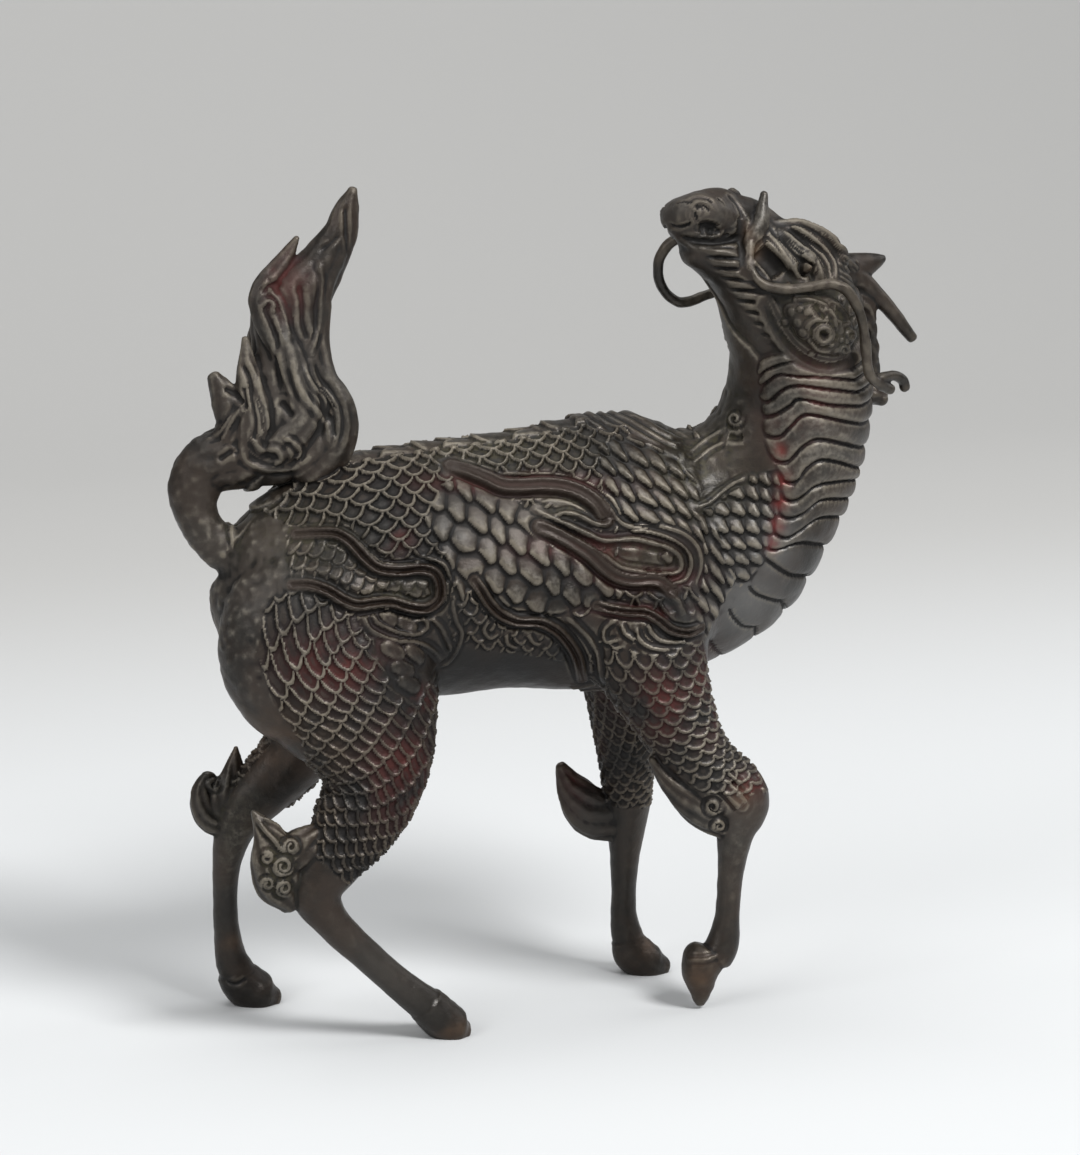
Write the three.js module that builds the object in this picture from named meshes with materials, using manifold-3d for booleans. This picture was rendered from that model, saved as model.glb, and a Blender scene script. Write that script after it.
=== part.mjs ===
// A cast bronze qilin: a scaly hoofed beast with a dragon's head, striding with its head turned back.
// The beast faces +X, its left side is +Y, and its hooves stand on z = 0.
import * as THREE from 'three';
import { mergeVertices } from 'three/addons/utils/BufferGeometryUtils.js';
import Module from 'manifold-3d';

// Driving dimensions, in millimetres.
const FIGURE_HEIGHT = 220;
const TRUNK_BREADTH = 46;
const WHISKER_DIAMETER = 2.8;
const HORN_DIAMETER = 4.4;
const EYE_DIAMETER = 4.6;
const TUSK_DIAMETER = 2.6;
const CANNON_DIAMETER = 7;
const RIDGE_DIAMETER = 2.2;
const PLATE_THICKNESS = 2.4;

// The pose and proportions are shares: x and z in hundredths of the height, and y in shares of the breadth,
// of which the trunk has twenty-one.
const SHARE = FIGURE_HEIGHT / 100;
const SIDE_SHARE = TRUNK_BREADTH / 21;

// The head looks back along -X, turned a little to the beast's right, lifted, and leaning away on its left.
const HEAD_PLACE = [27.6, -4.5, 88.5];
const HEAD_TURN = THREE.MathUtils.degToRad(5.6);
const HEAD_LIFT = THREE.MathUtils.degToRad(32);
const HEAD_LEAN = THREE.MathUtils.degToRad(13.5);

const wasm = await Module();
wasm.setup();

const place = ([x, y, z]) => new THREE.Vector3(x * SHARE, y * SIDE_SHARE, z * SHARE);

// A station is a place and the two half sizes of the section there, in millimetres: depth in the plane of
// the body and breadth across it.
function station([x, y, z, depth, breadth]) {
  return { at: place([x, y, z]), depth: depth * SHARE, breadth: breadth * SIDE_SHARE };
}

// Directions of the head: forward to the nose, left, and up through the crown.
function headAxes() {
  const turned = new THREE.Vector3(-Math.cos(HEAD_TURN), -Math.sin(HEAD_TURN), 0);
  const forward = turned.multiplyScalar(Math.cos(HEAD_LIFT)).add(new THREE.Vector3(0, 0, Math.sin(HEAD_LIFT)));
  const level = new THREE.Vector3(0, 0, 1).cross(forward).normalize();
  const left = level.applyAxisAngle(forward, HEAD_LEAN);
  return { forward, left, up: new THREE.Vector3().crossVectors(forward, left) };
}

const HEAD = headAxes();

// A place on the head: along it from between the eyes, to its left side, and up, in shares of the height.
function onHead(along, side, up) {
  return place(HEAD_PLACE)
    .addScaledVector(HEAD.forward, along * SHARE)
    .addScaledVector(HEAD.left, side * SHARE)
    .addScaledVector(HEAD.up, up * SHARE);
}

const headStation = ([along, side, up, depth, breadth]) => ({
  at: onHead(along, side, up), depth: depth * SHARE, breadth: breadth * SHARE,
});

// Shares of the way along a loft at which its rings stand, evenly unless a list is given.
const evenly = (count) => Array.from({ length: count }, (_, i) => i / (count - 1));

// The middle line of a loft, smoothed through its stations, with the half sizes carried along.
function smoothStations(stations, shares) {
  const places = new THREE.CatmullRomCurve3(stations.map((s) => s.at), false, 'catmullrom');
  const sizes = new THREE.CatmullRomCurve3(
    stations.map((s) => new THREE.Vector3(s.depth, s.breadth, 0)), false, 'catmullrom');
  return shares.map((t) => {
    const size = sizes.getPoint(t);
    return { t, at: places.getPoint(t), along: places.getTangent(t), depth: size.x, breadth: size.y };
  });
}

// A rounded end is a smaller ring and a pole, as far out as the mean half size times the bulge.
const CAP_STEP = 0.68;
const OPEN_BULGE = 0;
const BLUNT_BULGE = 0.5;
const ROUND_BULGE = 0.8;

// How many sides a section has, from the finest form to the broadest.
const RIDGE_SIDES = 4;
const LOCK_SIDES = 5;
const HOOF_SIDES = 6;
const LIMB_SIDES = 8;
const SKULL_SIDES = 12;
const TRUNK_SIDES = 15;

function capRing(ring, outward, bulge) {
  const reach = bulge * (ring.depth + ring.breadth) / 2;
  return {
    ...ring,
    at: ring.at.clone().addScaledVector(ring.along, outward * reach * CAP_STEP),
    depth: ring.depth * Math.sqrt(1 - CAP_STEP * CAP_STEP),
    breadth: ring.breadth * Math.sqrt(1 - CAP_STEP * CAP_STEP),
    pole: ring.at.clone().addScaledVector(ring.along, outward * reach),
  };
}

// A closed body lofted along stations. The section's breadth lies along the side direction, and relief, where
// it is given, adds to the radius at a share of the way along and an angle that starts on that side.
function loft(stations, { sides = LOCK_SIDES, rings = stations.length, shares = evenly(rings),
  side = new THREE.Vector3(0, 1, 0), bulge = [ROUND_BULGE, ROUND_BULGE], relief = null } = {}) {
  const body = smoothStations(stations, shares);
  const first = bulge[0] > 0 ? [capRing(body[0], -1, bulge[0])] : [];
  const last = bulge[1] > 0 ? [capRing(body[body.length - 1], 1, bulge[1])] : [];
  const all = [...first, ...body, ...last];
  const positions = [];
  for (const ring of all) {
    const across = side.clone().addScaledVector(ring.along, -side.dot(ring.along)).normalize();
    const normal = new THREE.Vector3().crossVectors(ring.along, across);
    for (let k = 0; k < sides; k++) {
      const angle = 2 * Math.PI * k / sides;
      const extra = relief ? relief(ring.t, angle) : 0;
      const point = ring.at.clone()
        .addScaledVector(across, (ring.breadth + extra) * Math.cos(angle))
        .addScaledVector(normal, (ring.depth + extra) * Math.sin(angle));
      positions.push(point.x, point.y, point.z);
    }
  }
  const poles = [all[0], all[all.length - 1]].map((ring) => ring.pole ?? ring.at);
  positions.push(...poles[0].toArray(), ...poles[1].toArray());
  const startPole = all.length * sides;
  const index = [];
  for (let k = 0; k < sides; k++) {
    const next = (k + 1) % sides;
    for (let i = 0; i < all.length - 1; i++) {
      const a = i * sides;
      const b = a + sides;
      index.push(a + k, a + next, b + next, a + k, b + next, b + k);
    }
    const top = (all.length - 1) * sides;
    index.push(startPole, next, k, startPole + 1, top + k, top + next);
  }
  const geometry = new THREE.BufferGeometry();
  geometry.setAttribute('position', new THREE.Float32BufferAttribute(positions, 3));
  geometry.setIndex(index);
  return geometry;
}

const WELD = 1e-4;

function solid(geometry) {
  const bare = geometry.index ? geometry.clone() : geometry;
  bare.deleteAttribute('normal');
  bare.deleteAttribute('uv');
  const merged = mergeVertices(bare, WELD);
  return new wasm.Manifold(new wasm.Mesh({
    numProp: 3,
    vertProperties: new Float32Array(merged.attributes.position.array),
    triVerts: new Uint32Array(merged.index.array),
  }));
}

// The angle round the neck of the middle of the belly plates. It starts under the chest, comes round the right
// side as the neck twists, and ends under the chin.
const PLATE_TURN = [[0.5, 270], [0.6, 262], [0.66, 240], [0.71, 212], [0.76, 192], [0.81, 176], [0.87, 135],
  [0.93, 112], [1, 106]];

function plateMiddle(t) {
  const after = PLATE_TURN.findIndex(([share]) => share >= t);
  if (after <= 0) {
    return THREE.MathUtils.degToRad(PLATE_TURN[after === 0 ? 0 : PLATE_TURN.length - 1][1]);
  }
  const [t0, a0] = PLATE_TURN[after - 1];
  const [t1, a1] = PLATE_TURN[after];
  return THREE.MathUtils.degToRad(THREE.MathUtils.mapLinear(t, t0, t1, a0, a1));
}

// Broad overlapping plates across the throat and chest: a ring stands in each groove and on each crest.
const PLATES_FROM = 0.52;
const PLATES_TO = 0.96;
const PLATE_COUNT = 13;
const PLATE_RELIEF = PLATE_THICKNESS / 6;
const HIND_RINGS = 9;

// Cosines, from the middle of the plates, at which they have run out and at which they are whole.
const PLATE_EDGE = 0.35;
const PLATE_WHOLE = 0.7;

const plateShares = Array.from({ length: 2 * PLATE_COUNT + 1 },
  (_, i) => PLATES_FROM + (PLATES_TO - PLATES_FROM) * i / (2 * PLATE_COUNT));
const trunkShares = [...evenly(HIND_RINGS).slice(0, -1).map((share) => share * PLATES_FROM), ...plateShares, 1];

function throatPlates(t, angle) {
  const ring = plateShares.indexOf(t);
  if (ring < 0) {
    return 0;
  }
  const reach = THREE.MathUtils.smoothstep(Math.cos(angle - plateMiddle(t)), PLATE_EDGE, PLATE_WHOLE);
  return reach * (ring % 2 === 0 ? -PLATE_RELIEF : PLATE_RELIEF);
}

// Rump, belly, chest, neck and throat, as one body from the root of the tail to the chin.
const TRUNK = [
  [-38.4, 0, 50.5, 4.8, 4.4], [-35.8, 0, 51.3, 8.4, 6.4], [-30.4, 0, 53.0, 12.2, 8.8], [-23.1, 0, 54.3, 14.2, 9.9],
  [-14.6, 0, 54.5, 15.1, 10.2], [-6.0, 0, 55.0, 15.2, 10.5], [1.5, 0, 55.2, 16.1, 10.5],
  [8.3, 0, 55.6, 16.7, 10.2], [15.8, 0, 56.3, 15.4, 9.6], [21.6, 0, 58.6, 14.1, 8.8],
  [26.2, -0.8, 62.7, 11.1, 8.2], [29.0, -1.8, 67.6, 9.7, 7.8], [30.2, -2.7, 72.9, 9.0, 7.5],
  [30.0, -3.6, 77.5, 8.6, 7.3], [28.3, -4.6, 81.5, 8.0, 6.7], [25.4, -5.4, 84.9, 6.4, 5.4],
  [22.2, -6.0, 88.2, 4.3, 4.3], [18.7, -6.2, 90.9, 2.9, 3.3], [15.6, -6.3, 92.2, 2.1, 2.4],
];

const trunk = () => loft(TRUNK.map(station),
  { sides: TRUNK_SIDES, shares: trunkShares, relief: throatPlates, bulge: [BLUNT_BULGE, BLUNT_BULGE] });

// Each limb runs from inside the trunk to its fetlock. The cannon's half size is set by its own diameter.
const CANNON = CANNON_DIAMETER / (2 * SHARE);
const CANNON_SIDE = CANNON_DIAMETER / (2 * SIDE_SHARE);
const LIMBS = {
  rightHind: [[-26.6, -3.5, 55.0, 10.4, 6.8], [-28.1, -5.2, 47.6, 13.2, 6.8], [-25.3, -6.6, 40.2, 10.3, 5.9],
    [-23.9, -7.6, 35.2, 7.8, 5.0], [-24.1, -8.2, 30.6, 5.8, 4.3], [-26.3, -8.6, 26.6, 5.0, 3.8],
    [-28.9, -8.9, 23.0, 4.0, 3.2], [-31.0, -9.0, 19.1, 3.1, 2.8], [-29.2, -9.1, 15.3, 2.2, 2.3],
    [-24.8, -9.0, 10.6, CANNON * 1.2, CANNON_SIDE * 1.2], [-20.4, -8.8, 6.3, CANNON * 1.25, CANNON_SIDE * 1.25],
    [-17.6, -8.6, 3.9, 2.2, 2.2]],
  leftHind: [[-24.0, 3.0, 50.0, 11.0, 7.0], [-26.0, 5.0, 43.5, 9.0, 5.6], [-26.6, 6.8, 37.6, 5.8, 4.8],
    [-28.6, 8.0, 32.2, 4.4, 4.0], [-32.0, 8.8, 28.2, 3.8, 3.4], [-35.6, 9.4, 24.3, 3.1, 2.9],
    [-37.1, 9.8, 20.2, 2.1, 2.2], [-37.6, 10.1, 15.8, CANNON, CANNON_SIDE], [-37.6, 10.3, 10.8, CANNON, CANNON_SIDE],
    [-37.1, 10.5, 6.4, 1.9, 1.8], [-36.2, 10.6, 4.0, 2.3, 2.1]],
  leftFore: [[11.5, 3.0, 51.0, 10.0, 7.0], [12.3, 5.5, 43.3, 7.9, 5.2], [12.2, 7.2, 35.6, 4.9, 4.4],
    [12.7, 8.2, 27.8, 3.5, 3.3], [12.9, 8.7, 21.4, 2.8, 2.7], [12.7, 8.9, 16.0, 2.0, 1.9],
    [12.6, 9.0, 10.9, CANNON, CANNON_SIDE], [12.7, 9.1, 6.8, 1.8, 1.7], [13.3, 9.2, 4.2, 2.1, 2.0]],
  rightFore: [[10.6, -3.0, 54.0, 11.0, 6.8], [10.6, -5.0, 49.0, 9.8, 6.2], [11.0, -6.4, 43.2, 7.0, 5.2],
    [13.4, -7.4, 36.8, 5.0, 4.2], [16.6, -7.9, 30.9, 4.0, 3.6], [21.3, -8.1, 25.9, 4.0, 3.2],
    [21.0, -8.1, 21.6, 2.3, 2.3], [20.5, -8.0, 16.2, CANNON, CANNON_SIDE], [20.2, -7.9, 11.4, CANNON, CANNON_SIDE],
    [19.7, -7.8, 8.0, 2.1, 1.9], [18.6, -7.7, 6.0, 2.1, 2.1]],
};

const limb = (name) => loft(LIMBS[name].map(station), { sides: LIMB_SIDES, bulge: [OPEN_BULGE, OPEN_BULGE] });

// A hoof from the fetlock to its toe. The soles are cut flat on z = 0 at the end.
const HOOVES = {
  rightHind: [[-17.8, -8.6, 4.1, 2.3, 2.3], [-16.0, -8.4, 2.2, 2.5, 2.6], [-14.3, -8.3, 0.8, 2.3, 2.7],
    [-13.2, -8.2, 0.2, 1.4, 1.9]],
  leftHind: [[-36.8, 10.6, 4.4, 2.2, 2.1], [-35.3, 10.8, 2.4, 2.7, 2.6], [-33.4, 10.9, 0.9, 2.6, 2.8],
    [-31.8, 11.0, 0.2, 1.5, 1.9]],
  leftFore: [[12.9, 9.2, 4.6, 2.0, 1.9], [14.0, 9.2, 2.5, 2.6, 2.4], [16.0, 9.2, 1.0, 2.4, 2.6],
    [17.7, 9.2, 0.3, 1.5, 1.8]],
  rightFore: [[18.8, -7.7, 6.3, 2.0, 2.0], [16.8, -7.5, 4.9, 3.0, 2.6], [16.4, -7.4, 2.8, 2.4, 2.4],
    [16.6, -7.3, 0.3, 1.1, 1.5]],
};

const hoof = (name) => loft(HOOVES[name].map(station), { sides: HOOF_SIDES, bulge: [BLUNT_BULGE, BLUNT_BULGE] });

// Flame shaped tufts behind the hocks and knees.
const TUFTS = [
  [[-34.2, -9.0, 17.8, 1.2, 1.2], [-35.4, -9.4, 20.4, 2.8, 1.7], [-36.0, -9.6, 24.0, 2.8, 1.7],
    [-36.9, -9.6, 26.8, 1.6, 1.2], [-38.4, -9.5, 29.2, 0.3, 0.4]],
  [[-29.6, -9.4, 24.6, 2.7, 1.6], [-33.0, -9.6, 24.2, 2.6, 1.7], [-36.0, -9.8, 22.4, 1.4, 1.2]],
  [[-36.2, 9.4, 22.4, 1.6, 1.6], [-37.2, 9.6, 25.6, 2.5, 1.6], [-36.5, 9.8, 29.0, 1.5, 1.1],
    [-36.1, 9.9, 32.2, 0.3, 0.4]],
  [[-36.9, 9.4, 23.0, 1.6, 1.4], [-39.8, 9.8, 24.6, 1.3, 1.1], [-40.1, 10.0, 27.6, 1.2, 1.0],
    [-39.3, 10.0, 30.0, 0.4, 0.5]],
  [[11.4, 8.7, 20.0, 2.9, 1.5], [8.3, 8.9, 21.3, 3.1, 1.5], [5.9, 9.0, 24.2, 2.1, 1.3],
    [4.4, 9.0, 27.2, 0.7, 0.6]],
  [[19.6, -8.2, 23.0, 1.8, 1.6], [16.2, -8.6, 25.4, 2.1, 1.7], [12.9, -8.5, 28.4, 1.4, 1.2],
    [10.4, -8.0, 31.6, 0.5, 0.6]],
];

const TUFT_RINGS = 6;
const tuft = (stations) => loft(stations.map(station), { rings: TUFT_RINGS });

// The tail loops over from the rump and breaks into locks like a flame.
const TAIL = [[-32.5, 0, 54.9, 4.2, 3.8], [-36.6, 0, 56.8, 2.8, 2.9], [-40.0, 0, 59.0, 2.6, 2.6],
  [-42.4, 0, 62.2, 2.5, 2.4], [-42.7, 0, 65.7, 3.1, 2.4], [-41.2, 0, 68.5, 3.2, 2.8], [-36.6, 0, 69.4, 4.0, 3.2],
  [-32.2, 0, 71.0, 5.0, 3.8], [-31.1, 0, 75.4, 5.2, 4.0], [-31.0, 0, 81.0, 4.6, 3.4], [-30.8, 0, 86.4, 4.4, 3.0],
  [-27.6, 0, 90.6, 2.9, 2.2], [-25.2, 0, 94.2, 2.1, 1.5], [-24.3, 0, 97.2, 1.5, 1.0], [-23.5, 0, 99.5, 0.6, 0.5]];
const LOCKS = [
  [[-29.6, -1.6, 67.8, 3.2, 2.2], [-26.6, -2.2, 70.8, 2.6, 1.9], [-25.8, -2.2, 74.6, 1.8, 1.6],
    [-27.6, -1.8, 78.0, 1.5, 1.4], [-28.2, -1.4, 82.4, 1.4, 1.2], [-27.6, -1.2, 86.8, 1.1, 1.1],
    [-26.0, -0.8, 91.0, 0.6, 0.6]],
  [[-33.0, -2.4, 70.6, 2.4, 1.9], [-30.4, -3.2, 74.6, 2.0, 1.7], [-31.2, -3.0, 79.4, 1.8, 1.4],
    [-34.2, -2.0, 84.2, 1.9, 1.3], [-34.3, -1.2, 88.0, 1.7, 1.2], [-31.9, -0.6, 91.6, 1.1, 0.8],
    [-30.3, -0.4, 94.2, 0.3, 0.4]],
  [[-36.4, -1.6, 70.0, 2.4, 1.8], [-35.6, -2.2, 74.4, 2.3, 1.6], [-36.4, -1.6, 78.4, 1.5, 1.2],
    [-36.6, -1.0, 82.9, 0.4, 0.4]],
  [[-39.4, -0.6, 69.8, 2.2, 1.8], [-38.3, -1.0, 73.4, 1.9, 1.5], [-39.4, -0.8, 76.2, 1.3, 1.1],
    [-40.5, -0.6, 78.8, 0.4, 0.5]],
  [[-31.0, 1.8, 69.0, 2.8, 2.2], [-27.4, 2.6, 73.6, 2.2, 1.8], [-29.4, 2.6, 79.0, 1.8, 1.5],
    [-31.4, 2.0, 84.4, 1.5, 1.3], [-29.6, 1.2, 88.8, 0.8, 0.8]],
  [[-35.4, 1.8, 70.2, 2.4, 1.9], [-33.2, 2.8, 75.2, 1.9, 1.6], [-34.8, 2.2, 80.4, 1.3, 1.2],
    [-34.4, 1.4, 85.8, 0.5, 0.6]],
];

const TAIL_RINGS = 21;
const LOCK_RINGS = 8;
const tail = () => loft(TAIL.map(station), { sides: LIMB_SIDES, rings: TAIL_RINGS });
const lock = (stations) => loft(stations.map(station), { rings: LOCK_RINGS });

// Skull and upper jaw, from the crown to the nose, and the closed lips under it.
const SKULL = [[-8.6, 0, -0.6, 4.0, 4.4], [-5.6, 0, -0.8, 5.8, 5.8], [-2.0, 0, -0.1, 5.8, 6.0], [1.6, 0, 0.9, 4.8, 5.0],
  [5.0, 0, 1.3, 3.6, 3.9], [8.4, 0, 1.7, 3.1, 3.3], [11.4, 0, 1.3, 2.8, 3.2], [14.2, 0, -0.4, 2.6, 3.2],
  [15.9, 0, -1.4, 1.8, 2.4]];
const JAW = [[-5.0, 0, -4.4, 4.4, 5.0], [-1.0, 0, -4.6, 4.2, 4.6], [3.4, 0, -3.6, 3.0, 3.6],
  [7.6, 0, -2.9, 2.2, 2.9], [11.6, 0, -2.6, 1.6, 2.4], [14.4, 0, -2.6, 1.1, 1.9]];

const headLoft = (stations, options) => loft(stations.map(headStation), { side: HEAD.left, ...options });
const skull = () => headLoft(SKULL, { sides: SKULL_SIDES, bulge: [BLUNT_BULGE, BLUNT_BULGE] });
const jaw = () => headLoft(JAW, { sides: LIMB_SIDES, bulge: [OPEN_BULGE, BLUNT_BULGE] });

// Pairs of forms on both sides of the head.
const nostril = (side) => headLoft([[12.0, 1.7 * side, 1.2, 1.7, 1.6], [14.4, 1.8 * side, 0.4, 2.0, 1.8],
  [16.1, 1.3 * side, -0.6, 1.3, 1.3]]);
const brow = (side) => headLoft([[5.4, 2.2 * side, 3.7, 0.7, 0.8], [2.4, 3.9 * side, 4.1, 1.1, 1.1],
  [-0.6, 5.4 * side, 3.2, 1.2, 1.1], [-3.4, 6.2 * side, 0.8, 0.9, 0.8]]);
const cheek = (side) => headLoft([[0.6, 4.4 * side, -3.2, 1.6, 1.2], [-2.6, 5.2 * side, -3.8, 3.0, 1.7],
  [-5.8, 5.4 * side, -4.2, 3.0, 1.7], [-8.4, 5.2 * side, -3.6, 1.6, 1.2]]);
const EYE_SECTORS = 7;
const EYE_BANDS = 4;
const eye = (side) => new THREE.SphereGeometry(EYE_DIAMETER / 2, EYE_SECTORS, EYE_BANDS)
  .translate(...onHead(0.2, 4.9 * side, 1.4).toArray());

// A lock of the beard and cheek, curling to a point.
const CURLS = [
  [[-4.4, 6.0, 0.4], [-7.4, 6.0, 0.2], [-9.2, 5.2, -1.6]],
  [[-3.6, 6.6, -5.2], [-5.2, 7.0, -6.8], [-7.4, 6.6, -6.4]],
  [[-0.4, 5.8, -5.4], [-2.6, 6.4, -7.4], [-5.0, 6.0, -8.6]],
];

const CURL_DEPTHS = [1.3, 1.2, 0.4];
const CURL_BREADTHS = [1.2, 1.1, 0.4];
const SHORT_LOCK_RINGS = 4;

const curl = (points, side) => headLoft(
  points.map(([along, out, up], i) => [along, out * side, up, CURL_DEPTHS[i], CURL_BREADTHS[i]]),
  { rings: SHORT_LOCK_RINGS });

// Knobs along the crown and the bridge of the nose.
const KNOBS = [[9.4, 4.9, 1.2], [2.6, 4.6, 1.2], [-0.6, 5.8, 1.5], [-3.8, 6.4, 1.7], [-7.0, 5.5, 1.6]];
const KNOB_DEPTH = 0.8;
const KNOB_BREADTH = 1.3;
const knob = ([along, up, size]) => headLoft([size / 2, -size / 2]
  .map((step) => [along + step, 0, up, size * KNOB_DEPTH, size * KNOB_BREADTH]));

// One horn in the middle of the crown, swept back, with a short prong in front of it.
const HORN = HORN_DIAMETER / (2 * SHARE);
const HORN_RINGS = 5;
const horn = () => headLoft([[-5.0, 0, 3.6, HORN * 1.7, HORN * 1.7], [-8.8, 0, 5.0, HORN * 1.4, HORN * 1.3],
  [-14.0, 0, 4.1, HORN * 1.05, HORN], [-19.5, 0, 2.3, HORN * 0.75, HORN * 0.7]], { sides: HOOF_SIDES, rings: HORN_RINGS });
const prong = () => headLoft([[-8.0, 0, 4.8, HORN * 1.3, HORN], [-10.2, 0, 7.5, HORN * 0.9, HORN * 0.7],
  [-12.0, 0, 9.3, HORN * 0.3, HORN * 0.3]]);

// A tusk rises from the lower jaw outside the lip on each side.
const TUSK = TUSK_DIAMETER / (2 * SHARE);
const tusk = (side) => headLoft([[6.8, 2.8 * side, -1.6, TUSK, TUSK], [7.3, 3.8 * side, 0.6, TUSK, TUSK],
  [7.6, 3.7 * side, 3.0, TUSK * 0.9, TUSK * 0.9], [8.2, 3.2 * side, 6.0, TUSK * 0.4, TUSK * 0.4]]);

// Whiskers of even thickness, cast with the head. The right one loops under the muzzle.
const LEFT_WHISKER = [[23.4, -6.2, 92.4], [22.1, -8.2, 93.1], [21.7, -9.2, 90.9], [22.3, -10.0, 88.7],
  [24.3, -10.8, 87.7], [27.2, -11.3, 87.6], [30.8, -11.8, 88.1], [33.1, -12.0, 87.0], [34.8, -11.9, 83.7],
  [35.5, -11.6, 80.1], [36.2, -11.0, 77.0], [38.2, -10.0, 75.2], [40.4, -8.8, 74.6], [41.9, -7.8, 75.1]];
const LEFT_BRANCH = [[37.2, -10.2, 75.8], [38.6, -9.8, 76.1], [40.2, -9.0, 76.5], [41.8, -8.4, 75.8]];
const RIGHT_WHISKER = [[21.0, -4.6, 92.6], [19.6, -3.0, 93.2], [16.8, -2.0, 93.2], [14.6, -1.2, 92.3],
  [13.5, -0.5, 90.0], [14.1, 0.2, 87.0], [16.6, 0.8, 85.0], [19.6, 1.4, 85.5], [23.4, 1.0, 86.9]];

const LEFT_WHISKER_RINGS = 23;
const RIGHT_WHISKER_RINGS = 16;

function whisker(points, rings) {
  const half = WHISKER_DIAMETER / 2;
  const stations = points.map((point) => ({ at: place(point), depth: half, breadth: half }));
  return loft(stations, { rings });
}

// The mane: locks down the back of the neck, from the crown round the left side to the withers.
const MANE = [
  [[33.0, -2.0, 87.0], [39.2, -2.6, 86.0], [40.8, -3.0, 81.8]],
  [[35.6, 0.0, 85.0], [39.8, -0.6, 81.6], [40.8, -1.4, 77.6]],
  [[34.8, 1.4, 80.6], [39.4, 0.4, 77.6], [40.6, -0.6, 74.2]],
  [[37.0, 0.2, 75.4], [40.4, -1.4, 73.4], [42.4, -2.4, 71.4]],
  [[33.2, 3.4, 78.4], [35.2, 4.4, 75.0], [35.6, 4.2, 71.2]],
  [[28.4, 4.4, 76.0], [29.0, 5.6, 71.8], [27.8, 5.8, 67.6]],
];

const MANE_DEPTHS = [1.6, 1.8, 0.5];
const MANE_BREADTHS = [1.8, 1.8, 0.6];

const maneLock = (points) => loft(
  points.map(([x, y, z], i) => station([x, y, z, MANE_DEPTHS[i], MANE_BREADTHS[i]])),
  { rings: SHORT_LOCK_RINGS });

// Overlapping scalloped plates along the back, from the tail to the withers.
const SPINE = [[-25.0, 67.3], [-19.6, 68.4], [-14.4, 68.8], [-9.2, 69.1], [-4.0, 69.7], [1.2, 70.6], [6.2, 71.5],
  [11.2, 71.3], [15.8, 70.5]];

// A back plate in shares: half its length, its lift at the free rear edge and its sink at the front, and its
// half thickness and half breadth at the rear, the middle and the front.
const BACK_PLATE_HALF = 2.8;
const BACK_PLATE_LIFT = [0.5, 0.1, -0.9];
const BACK_PLATE_DEPTHS = [0.8, 1, 0.6].map((part) => part * PLATE_THICKNESS / (2 * SHARE));
const BACK_PLATE_BREADTHS = [1.6, 2.4, 1.8];

function backPlate([x, z], i) {
  const [beforeX, beforeZ] = SPINE[Math.max(i - 1, 0)];
  const [afterX, afterZ] = SPINE[Math.min(i + 1, SPINE.length - 1)];
  const rise = (afterZ - beforeZ) / (afterX - beforeX);
  return loft([-BACK_PLATE_HALF, 0, BACK_PLATE_HALF].map((step, k) => station(
    [x + step, 0, z + rise * step + BACK_PLATE_LIFT[k], BACK_PLATE_DEPTHS[k], BACK_PLATE_BREADTHS[k]])),
  { bulge: [BLUNT_BULGE, BLUNT_BULGE] });
}

// Raised flame scrolls on the flanks. Each is drawn in the plane of the body and seated on what lies under it.
const SCROLLS = {
  haunch: [[-33.5, 62.0], [-28.1, 61.0], [-25.3, 58.3], [-21.1, 56.6], [-17.5, 56.3], [-16.0, 54.7], [-17.2, 52.9],
    [-20.4, 52.6], [-24.2, 53.0], [-28.6, 54.4], [-33.0, 56.0]],
  shoulderTop: [[-13.4, 67.6], [-8.6, 66.2], [-1.5, 65.2], [2.0, 63.1], [3.9, 60.6]],
  shoulder: [[-4.0, 60.9], [1.7, 57.4], [5.2, 54.9], [8.9, 54.3], [12.2, 54.4], [13.2, 56.1], [10.3, 58.1],
    [5.4, 58.9], [0.8, 59.8], [-3.8, 62.2]],
  flank: [[-11.6, 54.4], [-9.3, 50.4], [-3.9, 48.8], [-0.5, 46.1], [1.4, 42.2]],
  elbow: [[3.0, 51.6], [7.9, 50.2], [11.8, 48.7], [14.2, 46.0]],
};

function seatOn(meshes, x, z, side) {
  const from = new THREE.Vector3(x * SHARE, side * TRUNK_BREADTH, z * SHARE);
  const ray = new THREE.Raycaster(from, new THREE.Vector3(0, -side, 0));
  const hits = ray.intersectObjects(meshes, false);
  return hits.length > 0 ? hits[0].point.y : null;
}

// A scroll's half size at its ends and its middle, as parts of the ridge's.
const SCROLL_END = 0.45;
const SCROLL_MIDDLE = 1.2;

function scroll(points, side, meshes) {
  const half = RIDGE_DIAMETER / 2;
  const stations = points.map(([x, z], i) => {
    const share = i / (points.length - 1);
    const swell = SCROLL_END + (SCROLL_MIDDLE - SCROLL_END) * Math.sqrt(Math.sin(Math.PI * share));
    const y = seatOn(meshes, x, z, side);
    return { at: new THREE.Vector3(x * SHARE, y, z * SHARE), depth: half * swell, breadth: half * swell };
  });
  return loft(stations, { sides: RIDGE_SIDES });
}

const LEFT_SCROLLS = ['haunch', 'shoulder'];

function scrolls(meshes) {
  return [
    ...Object.values(SCROLLS).map((points) => scroll(points, -1, meshes)),
    ...LEFT_SCROLLS.map((name) => scroll(SCROLLS[name], 1, meshes)),
  ];
}

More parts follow.
